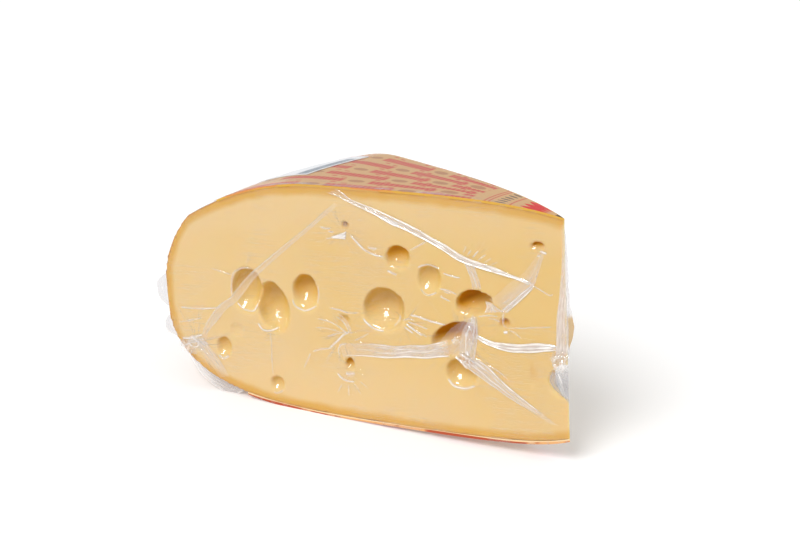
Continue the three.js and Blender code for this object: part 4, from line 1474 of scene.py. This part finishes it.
def laid_ribbon(name, ribbon, seed):
    """A band of film from RIBBONS: it spans from its left to its right edge, with lines along it."""
    left, _, travelled = fold_curve(ribbon["left"], PATH_STEPS)
    right, _, _ = fold_curve(ribbon["right"], PATH_STEPS)
    length = travelled[-1]
    widest = float(np.linalg.norm(right - left, axis=1).max())
    fades = ribbon.get("ends", (0.1, 0.1))
    soft = ribbon.get("soft", 0)
    line_width = ribbon.get("line", LINE_WIDTH)
    height = ribbon["rise"]

    def strongest_line(s, share, width):
        edges = [(0, ribbon["white"][0]), (1, ribbon["white"][1])]
        lines = edges + [(by_thirds(s, track), white) for track, white in ribbon["inner"]]
        strongest = 0
        for number, (where, white) in enumerate(lines):
            wander = 0 if number < len(edges) else 0.12 * waver(s * length * 0.06, seed, 3.1 * number)
            gap = abs(share - where - wander) * width
            lift = 0.8 + 0.7 * waver(s * length * 0.1, seed + 5, 2.7 * number)
            strongest = max(strongest, white * lift * math.exp(-(gap / line_width) ** 2))
        return strongest

    def place(s, t):
        near, _ = part_way(left, s)
        far, _ = part_way(right, s)
        width = max(0.3, float(np.linalg.norm(far - near)))
        margin = RIBBON_MARGIN / width
        share = (t + 1) / 2 * (1 + 2 * margin) - margin
        x, z = near + (far - near) * share
        line = strongest_line(s, share, width)
        ends = min(1, s / fades[0] + 0.05, (1 - s) / fades[1] + 0.05)
        inside = min(1, max(0, share / margin + 1), max(0, (1 - share) / margin + 1))
        if soft:
            inside *= min(1, max(0, share / soft))
        crumple = waver(s * length * 0.12, share * width * 0.25, seed)
        haze = by_thirds(s, ribbon["haze"]) * (1 + 0.5 * crumple) * inside ** 2
        rise = (0.15 + 0.35 * height * (1 + crumple) + 0.6 * height * line) * ends * inside
        milky = min(MILKIEST, (haze + line) * ends)
        return (x, -FOLD_GAP - rise, z), milky, min(1, 1.4 * line), (s * length, share * width)

    along = max(8, int(length / RIBBON_CELL["along"]))
    across = max(10, int((widest + 2) / RIBBON_CELL["across"]))
    sheet = laid_sheet(name, along, across, place)
    write_attribute(sheet, "fold_shade", [ribbon.get("shade", 0)] * len(sheet.data.vertices))
    return sheet


# Patches of loose film on the front cut face: the middle (x, z), the size across and up, the turn,
# how far they stand out, how deeply and how finely they are crumpled, and how milky they are.
PATCHES = {
    "gathered_knot": {"middle": (-91, -16), "size": (10, 38), "turn": -6, "lift": 2.6,
                      "crumple": 2.6, "grain": 5, "haze": 0.3},
    "gathered_side": {"middle": (-107, -24), "size": (10, 8), "turn": 35, "lift": 2.0,
                      "crumple": 1.6, "grain": 4, "haze": 0.45},
    "gathered_foot": {"middle": (-97, -42), "size": (22, 12), "turn": -30, "lift": 1.6,
                      "crumple": 2.6, "grain": 4, "haze": 0.6},
    "tip_crumple": {"middle": (-7, -34), "size": (19, 20), "turn": 0, "lift": 1.6,
                    "crumple": 1.8, "grain": 5, "haze": 0.6},
    "rim_crumple": {"middle": (-396, -59), "size": (32, 18), "turn": 20, "lift": 1.0,
                    "crumple": 1.2, "grain": 8, "haze": 0.5},
}
PATCH_CELL = 0.5


def laid_patch(name, patch, seed):
    """A crumpled patch of film from PATCHES, with a ragged outline."""
    width, height = patch["size"]
    turn = math.radians(patch["turn"])
    c, s = math.cos(turn), math.sin(turn)

    def place(u, t):
        across, up = 2 * u - 1, t
        span = max(abs(across), abs(up))
        square = max(math.hypot(across, up), 1e-6) / max(span, 1e-6)
        ragged = (1 + 0.4 * waver(across * 2, up * 2, seed)) / square
        x = across * width / 2 * ragged
        z = up * height / 2 * ragged
        rim = min(1, 2.2 * max(0, 1 - span))
        spot = Vector((x, z, seed)) / patch["grain"]
        ridges = 1 - 2 * abs(noise.noise(spot)) - 0.8 * abs(noise.noise(spot * 2.3))
        rise = max(0, rim ** 0.6 * (patch["lift"] + patch["crumple"] * (ridges - 0.3)))
        # Ridge tops are milkier and whiter: partly crumpled film, partly painted highlight.
        haze = patch["haze"] * rim ** 0.5 * (0.35 + 1.3 * max(0, ridges) ** 2)
        place_x = patch["middle"][0] + c * x - s * z
        place_z = patch["middle"][1] + s * x + c * z
        white = min(1, max(0, 2 * (ridges - 0.4)))
        return (place_x, -FOLD_GAP - rise, place_z), min(max(haze, 0), MILKIEST), white, (x, z)

    return laid_sheet(name, max(10, int(width / PATCH_CELL)), max(10, int(height / PATCH_CELL)), place)


def joined(pieces, name):
    """Joins the pieces into one with this name."""
    deselect()
    for piece in pieces:
        piece.select_set(True)
    bpy.context.view_layer.objects.active = pieces[0]
    bpy.ops.object.join()
    pieces[0].name = name
    return pieces[0]


def make_front_folds():
    pieces = [laid_ribbon(name, ribbon, 7.3 * number)
              for number, (name, ribbon) in enumerate(RIBBONS.items())]
    pieces += [laid_crease("crease", *crease, 50 + 1.7 * number) for number, crease in enumerate(CREASES)]
    pieces += [laid_patch(name, patch, 90 + 3.3 * number)
               for number, (name, patch) in enumerate(PATCHES.items())]
    folds = joined(pieces, "film_folds_front")
    smooth(folds)
    return folds


# Folds on the back cut face: the path and the width.
BACK_FOLDS = [
    ([(-240, 108), (-186, 70), (-120, 30), (-40, 6)], 9),
    ([(-330, 92), (-300, 30), (-290, -50), (-262, -104)], 7),
    ([(-150, 18), (-146, -40), (-110, -110)], 7),
]
CREASED_EYE_WIDTH = 16


def ribbon_along(path, width):
    """A band of folded film along a path. It narrows to half its width."""
    spots, heading, _ = fold_curve(path, 8)
    taper = np.linspace(1, 0.5, len(spots))[:, None]
    side = np.stack([-heading[:, 1], heading[:, 0]], axis=1) * taper * width / 2
    return {"left": [tuple(spot) for spot in spots - side],
            "right": [tuple(spot) for spot in spots + side],
            "haze": (0.2, 0.24, 0.12), "white": (0.9, 0.6), "rise": 1.0,
            "inner": [((0.4, 0.55, 0.45), 0.4)]}


def lip_arc(eye):
    """A path along the lower lip of an eye."""
    turns = np.radians(np.linspace(205, 335, 7))
    return [(eye["x"] + math.cos(turn) * eye["w"] * 0.5, eye["z"] + math.sin(turn) * eye["h"] * 0.54)
            for turn in turns]


def make_back_folds(back_eyes):
    pieces = [laid_ribbon("back_fold", ribbon_along(path, width), 200 + 9 * number)
              for number, (path, width) in enumerate(BACK_FOLDS)]
    for number, eye in enumerate(back_eyes):
        if eye["w"] > CREASED_EYE_WIDTH:
            # Each larger eye gets a white crease along its lower lip: partly film, partly painted highlight
            # where the lip catches the light.
            pieces.append(laid_crease("back_crease", lip_arc(eye), 1.7, 0.5, 0.6, 300 + 1.7 * number))
    folds = joined(pieces, "film_folds_back")
    folds.data.transform(TO_BACK_FACE)
    take_up(folds)
    edit_mode()
    bpy.ops.mesh.flip_normals()
    object_mode()
    smooth(folds)
    return folds


# The film's seal: a wavy fin down each end of the rim and one down the tip.
RIM_SEAL = {"top": 22, "end_radius": 340, "inset": 0.7}
# Where the rim's fin stands out as flaps: how far down the seal, half the flap's length and its reach.
SEAL_FLAPS = [(30, 20, 14.5), (70, 13, 13), (90, 6, 7), (136, 40, 13)]
SEAL_LEAST = 1.6
TIP_SEAL = {"top": 88, "bottom": -34, "reach": 3, "bulge": 5, "bulge_height": 0, "bulge_length": 15}
RIM_SEAL_GRID = (150, 14)
TIP_SEAL_GRID = (80, 8)


def rim_seal_line():
    """The line that the seal stands on, as (r, z) with the way outwards: down the rim and under."""
    zs = np.linspace(RIM_SEAL["top"], UNDERSIDE_EDGE["height"], 60)[:-1]
    line = [(float(rim_radius(z)), float(z)) for z in zs]
    radii = np.linspace(UNDERSIDE_EDGE["radius"], RIM_SEAL["end_radius"], 24)
    line += [(float(r), float(underside_height(r))) for r in radii]
    line = np.array(line)
    along = np.gradient(line, axis=0)
    along /= np.linalg.norm(along, axis=1)[:, None]
    travelled = np.cumsum([0] + list(np.linalg.norm(np.diff(line, axis=0), axis=1)))
    return line, np.stack([-along[:, 1], along[:, 0]], axis=1), travelled


def make_rim_seal(name, angle, seed):
    """A fin of film round one end of the rim, at an angle in degrees behind the front cut face."""
    line, outward, travelled = rim_seal_line()
    total = travelled[-1]

    def place(s, t):
        spot, low = part_way(line, s)
        length = s * total
        reach = SEAL_LEAST
        for centre, half, flap in SEAL_FLAPS:
            reach = max(reach, flap * max(0, 1 - abs((length - centre) / half) ** 2.5))
        reach *= min(1, 12 * s + 0.05, 12 * (1 - s) + 0.05)
        reach *= 1 + 0.2 * waver(length * 0.08, seed, 0)
        stand = (t + 1) / 2
        r, z = spot + outward[low] * (reach * stand - 0.5 * (1 - stand))
        sway = stand * (2.2 * waver(length * 0.05, seed, 3)
                        + 0.5 * waver(length * 0.12, seed + 2 * stand, 7))
        turn = math.radians(angle) + sway / r
        x, y = -r * math.cos(turn), r * math.sin(turn)
        z = max(z, floor_below(x, y) + FLOOR_CLEARANCE)
        # Ridges and the outer rim are milkier and whiter: partly folded film, partly painted highlight.
        ridges = max(0, 1 - 2.2 * abs(waver(length * 0.025, stand * 4, seed))) ** 3
        rim = max(0, (stand - 0.85) / 0.15)
        haze = 0.3 + 0.3 * ridges + 0.3 * rim
        white = min(1, 0.9 * ridges + 0.4 * rim)
        return (x, y, z), min(haze, 0.85), white, (length, reach * stand)

    seal = laid_sheet(name, *RIM_SEAL_GRID, place)
    smooth(seal)
    return seal


def make_tip_seal():
    """A fin of film down the tip, which bulges in the middle."""
    half_angle = SLICE_ANGLE / 2
    c, s = math.cos(half_angle), math.sin(half_angle)

    def place(share, t):
        z = TIP_SEAL["bottom"] + (TIP_SEAL["top"] - TIP_SEAL["bottom"]) * share
        from_bulge = (z - TIP_SEAL["bulge_height"]) / TIP_SEAL["bulge_length"]
        bulge = TIP_SEAL["bulge"] * math.exp(-from_bulge ** 2)
        reach = TIP_SEAL["reach"] * math.sin(math.pi * (0.05 + 0.9 * share)) + bulge
        stand = (t + 1) / 2
        out = reach * stand * (1 + 0.15 * waver(z * 0.15, 0, 0)) - 0.4 * (1 - stand)
        sway = stand * 1.6 * waver(z * 0.12, stand, 9)
        haze = 0.2 + 0.45 * stand ** 2 + 0.3 * waver(z * 0.2, stand * 2, 4)
        spot = (out * c + sway * s, -out * s + sway * c, z)
        return spot, min(max(haze, 0.1), 0.8), 0.5 * stand ** 2, (z, reach * stand)

    seal = laid_sheet("film_seal_tip", *TIP_SEAL_GRID, place)
    smooth(seal)
    return seal


# ------------------------------------------------------------------ the whole

bpy.context.scene.view_settings.view_transform = "Standard"
bpy.context.scene.cycles.transparent_max_bounces = 32

place_camera()
light_sky()
place_sun("key_light", KEY_DIRECTION, KEY_ANGLE, KEY_STRENGTH, mirrored=False)
place_sun("glint_light", GLINT_DIRECTION, GLINT_ANGLE, GLINT_STRENGTH, mirrored=True)

deselect()
bpy.ops.mesh.primitive_plane_add(size=FLOOR_SIZE)
floor = bpy.context.active_object
floor.name = "floor"
floor.data.materials.append(floor_material())

back_eyes = scattered_eyes()
cheese = make_cheese(back_eyes)
film_skin = make_film_skin(cheese, back_eyes)
top_label, underside_label = make_labels()
sticker = make_sticker()
front_folds = make_front_folds()
back_folds = make_back_folds(back_eyes)
seals = [
    make_rim_seal("film_seal_rim_front", RIM_SEAL["inset"], 11),
    make_rim_seal("film_seal_rim_back", math.degrees(SLICE_ANGLE) - RIM_SEAL["inset"], 17),
    make_tip_seal(),
]

top_print = label_material("top_label_print", (BAND_GOLD, EDGE_RUST), TOP_EDGE_STRONG, BAND_GOLD)
# The underside label's edge: orange, and red with painted shade.
underside_print = label_material("underside_label_print", (EDGE_ORANGE, EDGE_RED_IN_SHADE), UNDERSIDE_EDGE_STRONG,
                                 EDGE_CREAM)
film_drawn_tight = film_skin_material()
film_in_folds = film_fold_material("film_in_folds", FILM_CLEAR, FILM_MILK, 0.5)
film_at_seals = film_fold_material("film_at_seals", FILM_GREY, FILM_DULL, 0.25, CHEESE_BEHIND)
settle(cheese, "wrapped_cheese", cheese_material(), "wrapped_wedge")
settle(film_skin, "wrapped_cheese", film_drawn_tight, "wrapped_wedge")
for folds in (front_folds, back_folds):
    settle(folds, "wrapped_cheese", film_in_folds, "wrapped_wedge")
for seal in seals:
    settle(seal, "wrapped_cheese", film_at_seals, "wrapped_wedge")
settle(top_label, "printed_label", top_print, "top_label")
settle(underside_label, "printed_label", underside_print, "underside_label")
settle(sticker, "white_sticker", sticker_material(), "weight_sticker")
